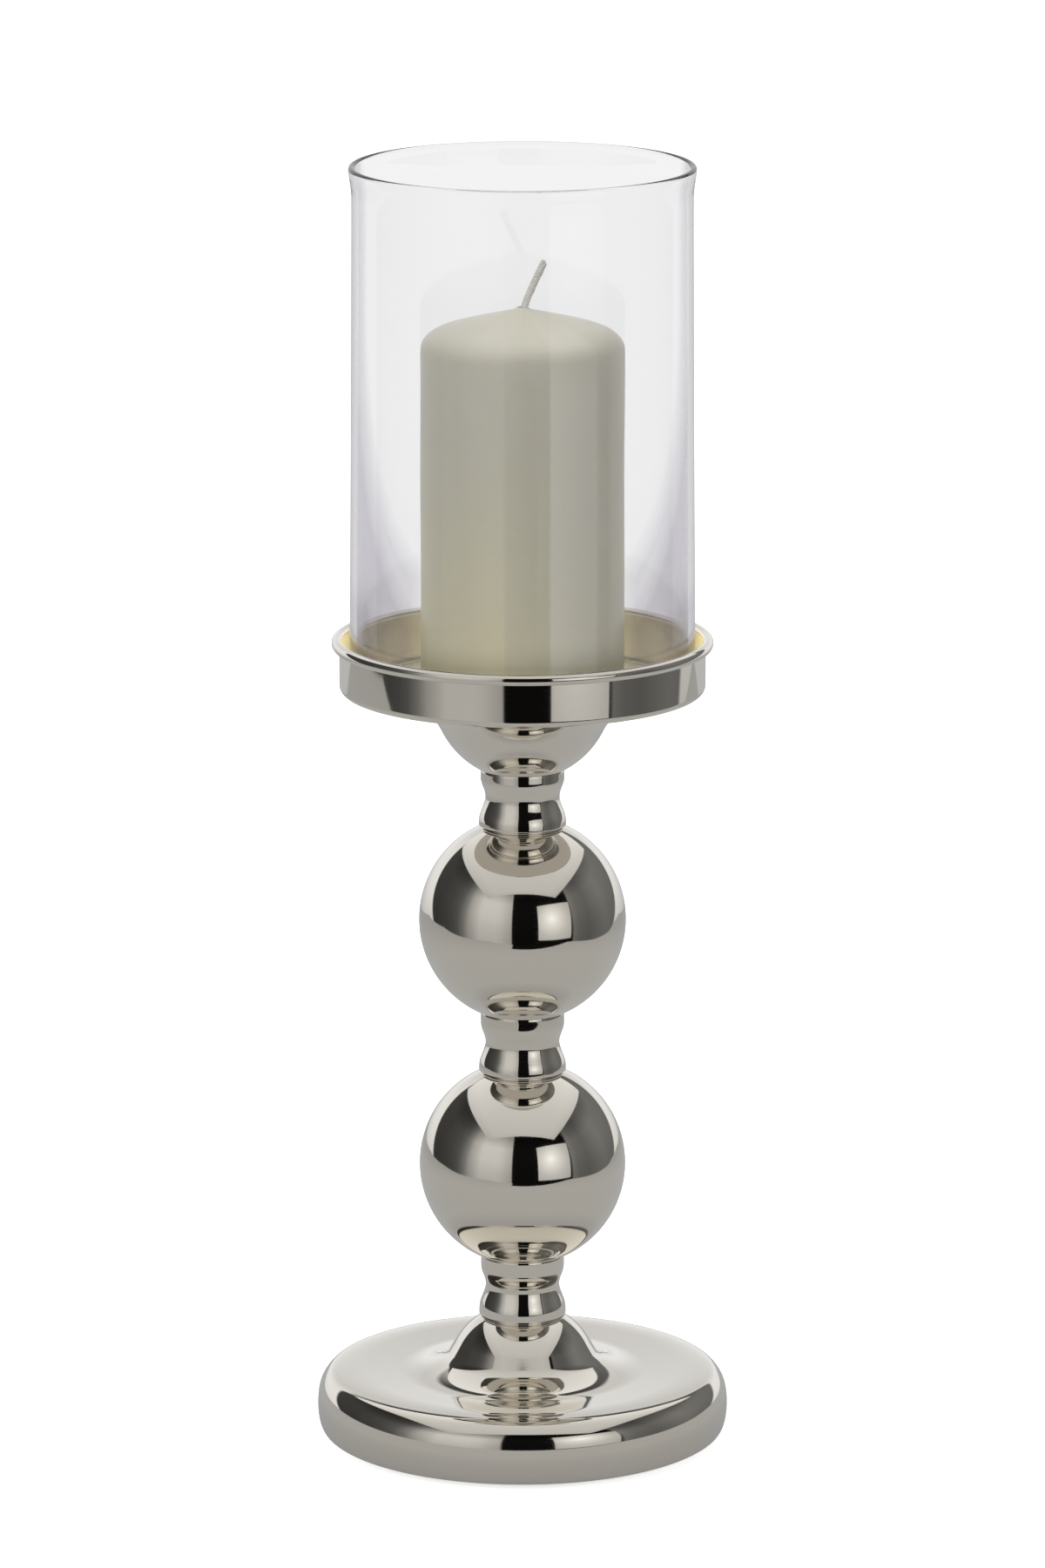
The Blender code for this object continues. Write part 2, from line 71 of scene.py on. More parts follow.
def spline(points, per):
    """A centripetal Catmull-Rom line through the points, in `per` steps from each to the next."""
    points = np.array(points, float)
    points = np.vstack([2 * points[0] - points[1], points, 2 * points[-1] - points[-2]])
    gaps = np.sqrt(np.linalg.norm(np.diff(points, axis=0), axis=1))
    knots = np.concatenate([[0], np.cumsum(gaps)])
    out = []
    for i in range(1, len(points) - 2):
        near = knots[i - 1 : i + 3]
        for t in np.linspace(near[1], near[2], per, endpoint=False):

            def between(row, j, first, last):
                span = last - first
                return (last - t) / span * row[j] + (t - first) / span * row[j + 1]

            row = points[i - 1 : i + 3]
            row = [between(row, j, near[j], near[j + 1]) for j in range(3)]
            row = [between(row, j, near[j], near[j + 2]) for j in range(2)]
            out.append(tuple(between(row, 0, near[1], near[2])))
    out.append(tuple(points[-2]))
    return out


def rounded(stations, steps=5):
    """Corners turned into arcs; stations are (radius, z, corner radius), 0 for a sharp one."""
    corners = [np.array(station[:2], float) for station in stations]
    out = []
    for i, corner in enumerate(corners):
        bend = stations[i][2]
        if bend <= 0:
            out.append(tuple(corner))
            continue
        back, ahead = corners[i - 1] - corner, corners[(i + 1) % len(corners)] - corner
        back_length, ahead_length = np.linalg.norm(back), np.linalg.norm(ahead)
        back, ahead = back / back_length, ahead / ahead_length
        half = math.acos(max(-1.0, min(1.0, float(back @ ahead)))) / 2
        if half > math.radians(89):  # all but straight
            out.append(tuple(corner))
            continue
        cut = min(bend / math.tan(half), 0.48 * back_length, 0.48 * ahead_length)
        bend = cut * math.tan(half)
        middle = (back + ahead) / np.linalg.norm(back + ahead)
        centre = corner + middle * (bend / math.sin(half))
        start, end = corner + back * cut - centre, corner + ahead * cut - centre
        first = math.atan2(start[1], start[0])
        turn = math.atan2(start[0] * end[1] - start[1] * end[0], float(start @ end))
        for k in range(steps + 1):
            angle = first + turn * k / steps
            out.append(
                (centre[0] + bend * math.cos(angle), centre[1] + bend * math.sin(angle))
            )
    return out


def filled(line, step, measure):
    """The line with each stretch cut into parts of at least `step`, its last point left off.
    measure(along radius, along z) gives a stretch's length."""
    out = []
    for start, end in zip(line, line[1:]):
        run, rise = end[0] - start[0], end[1] - start[1]
        count = max(1, int(measure(run, rise) / step))
        out += [
            (start[0] + run * k / count, start[1] + rise * k / count) for k in range(count)
        ]
    return out


def run_on(line, lean, bend, count):
    """Adds a bend to a line of (radius, z, lean in degrees), up to the given lean; bend is
    its radius, negative for a hollow, or a function of the lean."""
    first = line[-1][2]
    for i in range(count):
        radius, z, old = line[-1]
        new = first + (lean - first) * (i + 1) / count
        size = bend((old + new) / 2) if callable(bend) else bend
        before, after = math.radians(old), math.radians(new)
        radius += size * (math.sin(after) - math.sin(before))
        z += size * (math.cos(after) - math.cos(before))
        line.append((radius, z, new))
    return line


def offset(line, skin):
    """The line moved in by a wall's thickness, as (radius, z)."""
    return [
        (radius - skin * math.sin(math.radians(lean)), z - skin * math.cos(math.radians(lean)))
        for radius, z, lean in line
    ]


def crown(radius, steepest, count):
    """A bell's crown about a centre at height 0, from the rod's hole to its steepest slope."""
    lean = math.degrees(math.asin(HOLE / radius))
    first = [(HOLE, math.sqrt(radius**2 - HOLE**2), lean)]
    return run_on(first, steepest, radius, count)


# ---------------------------------------------------------------- meshes
def mesh_object(name, verts, faces, sharp):
    """A smooth-shaded mesh; edges that turn by more than `sharp` degrees stay crisp."""
    data = bpy.data.meshes.new(name)
    data.from_pydata([tuple(v) for v in verts], [], faces)
    data.validate()
    data.polygons.foreach_set("use_smooth", [True] * len(data.polygons))
    data.set_sharp_from_angle(angle=math.radians(sharp))
    data.update()
    obj = bpy.data.objects.new(name, data)
    bpy.context.scene.collection.objects.link(obj)
    return obj


def outwards(verts, faces):
    """The faces turned so that they enclose a positive volume."""
    fans = [(f[0], f[k], f[k + 1]) for f in faces for k in range(1, len(f) - 1)]
    tri = np.asarray(verts)[np.array(fans)]
    volume = np.einsum("ij,ij->i", tri[:, 0], np.cross(tri[:, 1], tri[:, 2])).sum()
    return [f[::-1] for f in faces] if volume < 0 else faces


def ring_points(radii, z, angles):
    return np.column_stack(
        [radii * np.cos(angles) * MM, radii * np.sin(angles) * MM, z * MM]
    )


def spun(name, profile, sides, sharp=38.0, radius_at=None):
    """A profile spun about Z. It is a closed loop unless both ends lie on the axis.
    radius_at(radius, z, angles) may change the radii round a ring."""
    points = [(float(radius), float(z)) for radius, z in profile]
    clean = points[:1]
    for point in points[1:]:
        if math.dist(point, clean[-1]) > SAME_POINT:
            clean.append(point)
    if math.dist(clean[0], clean[-1]) < SAME_POINT:
        clean.pop()
    angles = np.linspace(0, 2 * math.pi, sides, endpoint=False)
    verts, rings, start = [], [], 0
    for radius, z in clean:
        if radius < ON_AXIS:
            verts.append(np.array([(0.0, 0.0, z * MM)]))
            rings.append(np.full(sides, start))
        else:
            radii = radius_at(radius, z, angles) if radius_at else np.full(sides, radius)
            verts.append(ring_points(radii, np.full(sides, z), angles))
            rings.append(np.arange(start, start + sides))
        start += len(verts[-1])
    pairs = list(zip(rings, rings[1:] + rings[:1]))
    if clean[0][0] < ON_AXIS and clean[-1][0] < ON_AXIS:
        pairs.pop()
    faces = []
    for this, following in pairs:
        this_next, following_next = np.roll(this, -1), np.roll(following, -1)
        if this[0] == this[1]:
            columns = [this, following, following_next]
        elif following[0] == following[1]:
            columns = [this, following, this_next]
        else:
            columns = [this, following, following_next, this_next]
        faces += np.column_stack(columns).tolist()
    verts = np.vstack(verts)
    return mesh_object(name, verts, outwards(verts, faces), sharp)


def tube(path, radius, sides):
    """Vertices and faces of a round, capped tube along a path (N x 3, millimetres); radius is
    one number or one per point."""
    path = np.asarray(path, float)
    count = len(path)
    radius = np.broadcast_to(radius, (count,))
    tangent = np.gradient(path, axis=0)
    tangent /= np.linalg.norm(tangent, axis=1)[:, None]
    angles = np.linspace(0, 2 * math.pi, sides, endpoint=False)
    side = np.array([0.0, 1.0, 0.0])
    verts = []
    for i in range(count):
        side = side - tangent[i] * (side @ tangent[i])
        side /= np.linalg.norm(side)
        other = np.cross(tangent[i], side)
        circle = np.outer(np.cos(angles), side) + np.outer(np.sin(angles), other)
        verts.append(path[i] + radius[i] * circle)
    faces = []
    for i in range(count - 1):
        low, high = i * sides, (i + 1) * sides
        for k in range(sides):
            l = (k + 1) % sides
            faces.append([low + k, low + l, high + l, high + k])
    faces.append(list(range(sides))[::-1])
    faces.append([(count - 1) * sides + k for k in range(sides)])
    return np.vstack(verts) * MM, faces


def piece(obj, body, material, node):
    """Gives an object its material and hands it to the frame in place of a CAD node."""
    obj.data.materials.clear()
    obj.data.materials.append(material)
    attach(obj, body)
    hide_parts(node)
    return obj


# ---------------------------------------------------------------- shader nodes
class Nodes:
    """A node tree with short calls for the nodes used here. Inputs take a number, an RGB
    tuple or another node's output."""

    def __init__(self, owner, bare_output=None):
        """bare_output is the kind of output to start from in an otherwise empty tree."""
        owner.use_nodes = True
        self.owner = owner
        self.tree = owner.node_tree
        if bare_output:
            self.tree.nodes.clear()
            self.out = self.add(bare_output)
        else:
            self.shader = self.tree.nodes["Principled BSDF"]
            self.out = self.tree.nodes["Material Output"]

    def add(self, kind, **settings):
        node = self.tree.nodes.new(kind)
        for key, value in settings.items():
            setattr(node, key, value)
        return node

    def link(self, source, socket):
        self.tree.links.new(source, socket)

    def feed(self, socket, value):
        if isinstance(value, (int, float)):
            socket.default_value = value
        elif isinstance(value, tuple):
            socket.default_value = (*value, 1.0)
        else:
            self.link(value, socket)

    def set(self, **values):
        """Feeds the Principled inputs, named with underscores for spaces."""
        for key, value in values.items():
            self.feed(self.shader.inputs[key.replace("_", " ")], value)

    def place(self):
        return self.add("ShaderNodeTexCoord").outputs["Object"]

    def split(self, vector):
        node = self.add("ShaderNodeSeparateXYZ")
        self.link(vector, node.inputs[0])
        return [node.outputs[axis] for axis in "XYZ"]

    def join(self, x, z):
        node = self.add("ShaderNodeCombineXYZ")
        self.link(x, node.inputs["X"])
        self.link(z, node.inputs["Z"])
        return node.outputs[0]

    def facing(self):
        """0 where the surface is seen square on, 1 where it is seen edge on."""
        node = self.add("ShaderNodeLayerWeight")
        node.inputs["Blend"].default_value = 0.5
        return node.outputs["Facing"]

    def noise(self, vector, scale, detail=3.0, rough=0.5, distort=0.0):
        node = self.add("ShaderNodeTexNoise")
        node.inputs["Scale"].default_value = scale
        node.inputs["Detail"].default_value = detail
        node.inputs["Roughness"].default_value = rough
        node.inputs["Distortion"].default_value = distort
        self.link(vector, node.inputs["Vector"])
        return node.outputs["Fac"]

    def span(self, value, over, to=(0.0, 1.0)):
        """The value's range `over` mapped onto the range `to`."""
        node = self.add("ShaderNodeMapRange")
        for key, number in zip(("From Min", "From Max", "To Min", "To Max"), (*over, *to)):
            node.inputs[key].default_value = number
        self.link(value, node.inputs["Value"])
        return node.outputs["Result"]

    def ramp(self, value, stops, over=None):
        """A piecewise-linear curve; stops are (value, level), and `over` is the range the
        ramp stretches over where that isn't first stop to last."""
        low, high = over or (stops[0][0], stops[-1][0])
        node = self.add("ShaderNodeValToRGB")
        node.color_ramp.interpolation = "LINEAR"
        elements = node.color_ramp.elements
        elements.remove(elements[0])
        for i, (position, level) in enumerate(stops):
            along = min(max((position - low) / (high - low), 0.0), 1.0)
            if i == 0:
                element = elements[0]
                element.position = along
            else:
                element = elements.new(along)
            element.color = (level, level, level, 1.0)
        self.link(self.span(value, over=(low, high)), node.inputs[0])
        return node.outputs["Color"]

    def calc(self, how, first, second=None, clamp=False):
        node = self.add("ShaderNodeMath", operation=how, use_clamp=clamp)
        self.feed(node.inputs[0], first)
        if second is not None:
            self.feed(node.inputs[1], second)
        return node.outputs[0]

    def plus(self, first, second):
        return self.calc("ADD", first, second)

    def minus(self, first, second):
        return self.calc("SUBTRACT", first, second)

    def times(self, first, second):
        return self.calc("MULTIPLY", first, second)

    def pick(self, factor, off, on):
        """off where factor is 0, on where it is 1."""
        return self.plus(off, self.times(factor, self.minus(on, off)))

    def mix(self, factor, first, second):
        """The first colour where factor is 0, the second where it is 1."""
        node = self.add("ShaderNodeMix", data_type="RGBA")
        for index, value in ((0, factor), (6, first), (7, second)):
            self.feed(node.inputs[index], value)
        return node.outputs[2]

    def mix_shader(self, factor, first, second):
        node = self.add("ShaderNodeMixShader")
        for socket, source in zip(node.inputs, (factor, first, second)):
            self.link(source, socket)
        return node.outputs[0]

    def turned_place(self, vector):
        """(distance from the axis, 0, height): the same all round, as marks of turning are."""
        x, y, z = self.split(vector)
        away = self.calc("SQRT", self.plus(self.times(x, x), self.times(y, y)))
        return self.join(x=away, z=self.times(z, 1.0))

    def bump(self, height, depth_mm, strength=1.0, normal=None):
        node = self.add("ShaderNodeBump")
        node.inputs["Strength"].default_value = strength
        node.inputs["Distance"].default_value = depth_mm * MM
        self.link(height, node.inputs["Height"])
        if normal is not None:
            self.link(normal, node.inputs["Normal"])
        return node.outputs[0]

    def emission(self, strength):
        node = self.add("ShaderNodeEmission")
        self.feed(node.inputs["Strength"], strength)
        return node

    def distance(self, point=None):
        """How far the shaded place is from the world's origin, or from a point."""
        node = self.add("ShaderNodeVectorMath", operation="DISTANCE" if point else "LENGTH")
        self.link(self.add("ShaderNodeNewGeometry").outputs["Position"], node.inputs[0])
        if point:
            node.inputs[1].default_value = point
        return node.outputs["Value"]


def surface(name, bare_output=None):
    return Nodes(bpy.data.materials.new(name), bare_output)


# ---------------------------------------------------------------- materials
def nickel_nodes(name, wave=1.0, rough=0.035):
    """Mirror-polished nickel plate: faint clouding, turning marks and a slight roll in the
    surface, whose depth `wave` scales; rough is the least roughness."""
    plain, clouded, edge_on = (0.88, 0.836, 0.752), (0.865, 0.818, 0.726), (0.945, 0.94, 0.925)
    m = surface(name)
    place = m.place()
    cloud = m.noise(place, scale=26.0, detail=4.0, rough=0.55)
    rings = m.noise(m.turned_place(place), scale=2600.0, detail=2.0, rough=0.6)
    hairs = m.noise(place, scale=420.0, detail=5.0, rough=0.7, distort=0.6)
    colour = m.mix(m.span(cloud, over=(0.35, 0.75)), plain, clouded)
    colour = m.mix(m.calc("POWER", m.facing(), 3.0), colour, edge_on)
    marks = m.plus(
        m.span(rings, over=(0.45, 0.8), to=(0.0, 0.028)),
        m.span(hairs, over=(0.55, 0.8), to=(0.0, 0.03)),
    )
    clouding = m.span(cloud, over=(0.3, 0.8), to=(rough, rough + 0.022))
    roll = m.noise(place, scale=30.0, detail=1.0, rough=0.4)
    roll = m.bump(roll, depth_mm=0.02 * wave)
    m.set(
        Base_Color=colour,
        Metallic=1.0,
        Roughness=m.plus(clouding, marks),
        Normal=m.bump(rings, depth_mm=0.00022, normal=roll),
    )
    return m


def nickel(name, wave=1.0):
    return nickel_nodes(name, wave).owner


def tray_nickel():
    """The tray's plate: mirror bright outside, softer inside, where a painted yellow reflection and
    a painted glow stand for warm light bounced between glass, wax and tray.
    """
    inside_radius, inside_above = 0.0609, 0.2607  # metres
    m = nickel_nodes("polished_nickel_tray", rough=0.04)
    x, y, z = m.split(m.place())
    away = m.calc("SQRT", m.plus(m.times(x, x), m.times(y, y)), 0.0)
    within = m.times(
        m.calc("LESS_THAN", away, inside_radius), m.calc("GREATER_THAN", z, inside_above)
    )
    colour = m.shader.inputs["Base Color"].links[0].from_socket
    rough = m.shader.inputs["Roughness"].links[0].from_socket
    m.set(
        # painted reflection: the yellow tint inside stands for warm light bounced between glass, wax
        # and tray
        Base_Color=m.mix(within, colour, (1.0, 0.93, 0.72)),
        Roughness=m.plus(rough, m.times(within, 0.16)),
        # a faint glow stands for the light that bounces between glass, wax and tray
        Emission_Strength=m.times(within, 0.15),
        Emission_Color=(0.97, 0.93, 0.66),
    )
    return m.owner


def glass():
    """Clear blown glass with a faint roll in the wall; shadow rays pass it, as light does."""
    m = surface("clear_glass")
    place = m.place()
    drawn_up = m.add("ShaderNodeMapping")
    drawn_up.inputs["Scale"].default_value = (1.0, 1.0, 0.35)
    m.link(place, drawn_up.inputs["Vector"])
    roll = m.noise(drawn_up.outputs[0], scale=22.0, detail=1.5, rough=0.4)
    haze = m.noise(place, scale=90.0, detail=4.0, rough=0.6)
    patches = m.span(m.noise(place, scale=14.0), over=(0.3, 0.7))
    tint = m.mix(patches, (0.992, 0.992, 0.995), (0.986, 0.987, 0.992))
    edge_on = m.facing()
    # the deeper colour reaches further round towards the foot, along a curve
    low_down = m.span(m.split(place)[2], over=(0.29, 0.39), to=(1.0, 0.0))
    start = m.minus(0.66, m.times(m.times(low_down, low_down), 0.5))
    deep = m.calc("DIVIDE", m.minus(edge_on, start), 0.12, clamp=True)
    tint = m.mix(deep, tint, (0.625, 0.606, 0.655))
    tint = m.mix(m.span(edge_on, over=(0.74, 0.93)), tint, (0.56, 0.545, 0.59))
    m.set(
        Base_Color=tint,
        Roughness=m.span(haze, over=(0.5, 0.9), to=(0.0, 0.02)),
        IOR=1.47,
        Transmission_Weight=1.0,
        Normal=m.bump(roll, depth_mm=0.035),
    )
    clear = m.add("ShaderNodeBsdfTransparent")
    m.feed(clear.inputs[0], (0.93, 0.935, 0.94))
    shadow_ray = m.add("ShaderNodeLightPath").outputs["Is Shadow Ray"]
    mixed = m.mix_shader(shadow_ray, m.shader.outputs[0], clear.outputs[0])
    m.link(mixed, m.out.inputs["Surface"])
    return m.owner


# painted reflections on the wax, in upright bands: (edge in degrees from -Y towards +X,
# strength, edge's half width); each runs on from its edge, a paler painted sheen (the white card
# mirrored) where the strength is above 0, else a darker painted shade (the dark gap mirrored)
WAX_SHEEN_BANDS = ((-9.8, -0.40, 1.2), (15.5, 0.60, 1.2), (46.5, -0.66, 2.0))
WAX_SHEEN_END = 120.0


def wax():
    """Ivory wax: soft mottling, faint upright bands, a little yellower low down, and wider upright
    bands of painted sheen and painted shade for the white card and dark gap it mirrors.
    """
    ivory, yellow, band_shade = (0.75, 0.722, 0.595), (0.87, 0.79, 0.515), (0.69, 0.655, 0.53)
    painted_sheen, painted_shade, mottled = (0.93, 0.895, 0.77), (0.65, 0.615, 0.485), (0.80, 0.775, 0.66)
    m = surface("ivory_wax")
    place = m.place()
    x, y, z = m.split(place)
    around = m.calc("ARCTAN2", y, x)
    band_place = m.join(x=around, z=m.times(z, 0.8))
    band = m.noise(band_place, scale=5.5, detail=2.0, rough=0.5)
    mottle = m.noise(place, scale=160.0, detail=5.0, rough=0.6)
    colour = m.mix(m.span(z, over=(0.262, 0.35), to=(1.0, 0.0)), ivory, yellow)
    colour = m.mix(m.span(band, over=(0.4, 0.65), to=(0.0, 0.25)), colour, band_shade)
    degrees = m.times(m.plus(around, math.pi / 2), 180 / math.pi)
    on_side = m.span(z, over=(0.368, 0.381), to=(1.0, 0.3))  # fainter on the top
    # painted sheen and painted shade: the white card and the dark gap mirrored in the satin wax,
    # drawn as colour
    for edge, strength, soft in WAX_SHEEN_BANDS:
        panel = m.span(degrees, over=(edge - soft, edge + soft), to=(0.0, abs(strength)))
        shown = m.times(m.calc("LESS_THAN", degrees, WAX_SHEEN_END), on_side)
        colour = m.mix(m.times(panel, shown), colour, painted_sheen if strength > 0 else painted_shade)
    colour = m.mix(m.span(mottle, over=(0.5, 0.8), to=(0.0, 0.35)), colour, mottled)
    pits = m.bump(mottle, depth_mm=0.03, strength=0.6)
    m.set(
        Base_Color=colour,
        Roughness=m.span(mottle, over=(0.3, 0.7), to=(0.3, 0.42)),
        Subsurface_Weight=0.35,
        Subsurface_Scale=0.006,
        Normal=m.bump(band, depth_mm=0.12, strength=0.6, normal=pits),
    )
    m.shader.inputs["Subsurface Radius"].default_value = (1.0, 0.72, 0.42)
    return m.owner


def cotton():
    """Off-white twisted fibres."""
    m = surface("wick_cotton")
    fibre = m.noise(m.place(), scale=2600.0, detail=4.0, rough=0.7, distort=1.2)
    light, dark = (0.90, 0.885, 0.84), (0.74, 0.715, 0.65)
    m.set(
        Base_Color=m.mix(m.span(fibre, over=(0.3, 0.75)), light, dark),
        Roughness=0.9,
        Normal=m.bump(fibre, depth_mm=0.12),
        Sheen_Weight=0.3,
    )
    return m.owner


def felt():
    """Dark green wool felt, fluffy and patchy."""
    m = surface("wool_felt")
    place = m.place()
    fluff = m.noise(place, scale=900.0, detail=6.0, rough=0.75, distort=1.5)
    patch = m.noise(place, scale=60.0)
    colour = m.mix(fluff, (0.018, 0.034, 0.026), (0.06, 0.095, 0.075))
    patch = m.span(patch, over=(0.4, 0.7), to=(0.0, 0.4))
    m.set(
        Base_Color=m.mix(patch, colour, (0.03, 0.045, 0.04)),
        Roughness=0.97,
        Normal=m.bump(fluff, depth_mm=0.25),
        Sheen_Weight=0.4,
    )
    return m.owner


def plated(name, bright, dull, rough):
    """Steel with uneven plating and fine turned marks; rough is the least roughness."""
    m = surface(name)
    place = m.place()
    spots = m.noise(place, scale=320.0, detail=5.0, rough=0.65)
    rings = m.noise(m.turned_place(place), scale=3200.0, detail=3.0, rough=0.6)
    m.set(
        Base_Color=m.mix(m.span(spots, over=(0.35, 0.7)), bright, dull),
        Metallic=1.0,
        Roughness=m.plus(
            m.span(spots, over=(0.3, 0.7), to=(rough, rough + 0.14)),
            m.span(rings, over=(0.4, 0.7), to=(0.0, 0.08)),
        ),
        Normal=m.bump(rings, depth_mm=0.006, normal=m.bump(spots, depth_mm=0.01)),
    )
    return m.owner


def cast_iron():
    """Dark, grainy and lumpy iron."""
    m = surface("cast_iron")
    place = m.place()
    grain = m.noise(place, scale=700.0, detail=6.0, rough=0.7)
    lumps = m.noise(place, scale=130.0, detail=4.0, rough=0.6)
    grey, brown = (0.075, 0.075, 0.08), (0.13, 0.115, 0.10)
    m.set(
        Base_Color=m.mix(m.span(lumps, over=(0.35, 0.7)), grey, brown),
        Metallic=0.7,
        Roughness=m.span(grain, over=(0.3, 0.7), to=(0.55, 0.85)),
        Normal=m.bump(grain, depth_mm=0.06, normal=m.bump(lumps, depth_mm=0.25)),
    )
    return m.owner


# ---------------------------------------------------------------- balls
BALL_SKIN = 1.2


def hole_angle(radius):
    """Degrees up a sphere from its equator to the edge of the rod's hole."""
    return math.degrees(math.acos(HOLE / radius))


balls = {}  # (radius, height of the centre) of each
ball_nickel = nickel("polished_nickel_balls")
for name in ("ball_lower", "ball_upper"):
    radius, low, high = extent(name)
    z = (low + high) / 2
    balls[name] = (radius, z)
    top, hollow = hole_angle(radius), radius - BALL_SKIN
    top_inside = hole_angle(hollow)
    line = arc(radius, (0, z), top, -top, count=150)
    line += arc(hollow, (0, z), -top_inside, top_inside, count=60)
    obj = spun(name + "_turned", line, sides=288)
    piece(obj, "stand", ball_nickel, name)

# ---------------------------------------------------------------- base
base_radius, base_low, base_high = extent("base_shell")
DOME_R = 27.0  # crown of the dome in the middle
DOME_STEEP = 58.3  # its steepest slope, degrees
DOME_CONE = 2.1  # width of the straight slope below the crown
DOME_FLARE_R, DOME_FLARE_LEAN = 8.0, 30.0  # hollow bend below that, and the lean it ends at
DISH_RISE = 2.5  # degrees the plate rises towards the edge
WIDEST_Z = 11.1
BASE_SKIN = 1.0
MOUTH_R = 61.0
# the mouth's lip underneath: (outside the mouth's radius, above the lowest point)
MOUTH_LIP = ((0.6, 0.08), (0.22, 0.02), (0.04, 0.12), (0.0, 0.35), (0.0, 1.0))
# the edge's curve: (lean of its surface in degrees, 90 at the widest line; bend's radius)
EDGE_BEND = (
    (-DISH_RISE, 70.0), (0.0, 75.0), (8.5, 20.9), (18.0, 5.1), (32.0, 3.3), (50.0, 12.6),
    (70.0, 8.9), (90.0, 35.6), (110.0, 8.7), (135.0, 2.2), (160.0, 6.0),
)


def edge_bend(lean):
    leans, radii = zip(*EDGE_BEND)
    return math.exp(np.interp(lean, leans, np.log(radii)))


dome_z = base_high - math.sqrt(DOME_R**2 - HOLE**2)
edge_above = run_on([(base_radius, WIDEST_Z, 90.0)], -DISH_RISE, edge_bend, 190)
edge_below = run_on([(base_radius, WIDEST_Z, 90.0)], 160.0, edge_bend, 70)
dome = [(radius, dome_z + z, lean) for radius, z, lean in crown(DOME_R, DOME_STEEP, 70)]
radius, z, lean = dome[-1]
dome.append((radius + DOME_CONE, z - DOME_CONE * math.tan(math.radians(DOME_STEEP)), lean))
run_on(dome, DOME_FLARE_LEAN, -DOME_FLARE_R, 40)
# the last hollow bend is sized so that it runs into the plate's straight slope
radius, z, lean = dome[-1]
plate_radius, plate_z, _ = edge_above[-1]
rise, steep = math.radians(DISH_RISE), math.radians(lean)
last_bend = (z - plate_z + math.tan(rise) * (plate_radius - radius)) / (
    math.cos(rise) - math.cos(steep) + math.tan(rise) * (math.sin(rise) + math.sin(steep))
)
run_on(dome, -DISH_RISE, -last_bend, 60)
outside = dome + edge_above[::-1] + edge_below[1:]
line = [(radius, z) for radius, z, _ in outside]
line += [(MOUTH_R + out, base_low + up) for out, up in MOUTH_LIP]
line += offset(outside[::-3], BASE_SKIN)
obj = spun("base_shell_spun", line, sides=320)
piece(obj, "stand", nickel("polished_nickel_base", wave=1.2), "base_shell")

# ---------------------------------------------------------------- spools
CUP_R = 30.5  # crown of the cup, upside down
SEAT = 14.0  # radius where a spool's end meets its neighbour
SEAT_GAP = 0.03
# (radius, height over the lower seat's edge), from the top down
SPOOL = [
    (14.16, 16.9), (14.08, 16.2), (13.93, 15.55), (13.58, 14.45), (13.2, 13.45),
    (12.86, 12.45), (12.65, 11.5), (12.57, 10.55), (12.6, 9.8), (12.8, 8.9),
    (13.06, 8.0), (13.38, 7.1), (13.73, 6.2), (13.96, 5.6), (14.06, 5.35),
    (14.38, 4.4), (14.61, 3.5), (14.73, 2.6), (14.78, 1.7),
]
SPOOL_HEAD = [(14.05, 0.0), (14.14, 0.35), (14.16, 1.0)]  # (radius, depth below the top)
SPOOL_HEEL = [(14.76, 1.1), (14.6, 0.62), (14.3, 0.26), (SEAT, 0.04)]  # as in SPOOL

cup_low, cup_high = extent("cup_bowl")[1:]
cup_z = cup_low + math.sqrt(CUP_R**2 - HOLE**2)
spool_nickel = nickel("polished_nickel_spools", wave=0.7)
# (name, sphere below, sphere above, how much longer its lower band is)
SPOOLS = (
    ("collar_lower", (DOME_R, dome_z), balls["ball_lower"], 0.9),
    ("collar_middle", balls["ball_lower"], balls["ball_upper"], 0.0),
    ("collar_upper", balls["ball_upper"], (CUP_R, cup_z), 0.0),
)
for name, (below_radius, below_z), (above_radius, above_z), foot in SPOOLS:
    low = below_z + math.sqrt(below_radius**2 - SEAT**2)
    tall = above_z - math.sqrt(above_radius**2 - SEAT**2) - low
    below_radius += SEAT_GAP
    above_radius += SEAT_GAP
    top_rim = -math.degrees(math.acos((SEAT - 0.05) / above_radius))
    bottom_rim = math.degrees(math.acos((SEAT - 0.1) / below_radius))
    side = [(radius, tall - depth) for radius, depth in SPOOL_HEAD]
    side = spline(side + [(radius, z + foot) for radius, z in SPOOL], per=6)
    side += spline([side[-1]] + SPOOL_HEEL, per=5)[1:]
    line = arc(above_radius, (0, above_z), -hole_angle(above_radius), top_rim, count=12)
    line += [(radius, low + z) for radius, z in side]
    line += arc(below_radius, (0, below_z), bottom_rim, hole_angle(below_radius), count=12)
    obj = spun(name + "_turned", line, sides=224)
    piece(obj, "stand", spool_nickel, name)

# ---------------------------------------------------------------- cup
CUP_STEEP = 63.5  # steepest slope, degrees
CUP_FLARE = 23.5  # radius of the hollow bend out to the rim
CUP_SKIN = 1.2


def cup_line(skin, steps):
    """The cup's wall from the rod's hole out to the rim, whose height both faces share."""
    line = crown(CUP_R, CUP_STEEP, steps)
    lean = math.radians(CUP_STEEP)
    depth = line[-1][1] - skin * math.cos(lean) - (cup_z - cup_high)
    last = math.degrees(math.acos(math.cos(lean) + depth / (CUP_FLARE + skin)))
    run_on(line, last, -CUP_FLARE, steps)
    return [(radius, cup_z - z) for radius, z in offset(line, skin)]


cup_under = cup_line(0.0, 70)
rim_radius = cup_under[-1][0]
line = cup_under[::-1] + cup_line(CUP_SKIN, 30)
line += [(rim_radius - 0.25, cup_high), (rim_radius - 0.08, cup_high - 0.01)]
obj = spun("cup_bowl_spun", line, sides=256)
piece(obj, "stand", nickel("polished_nickel_cup", wave=0.8), "cup_bowl")

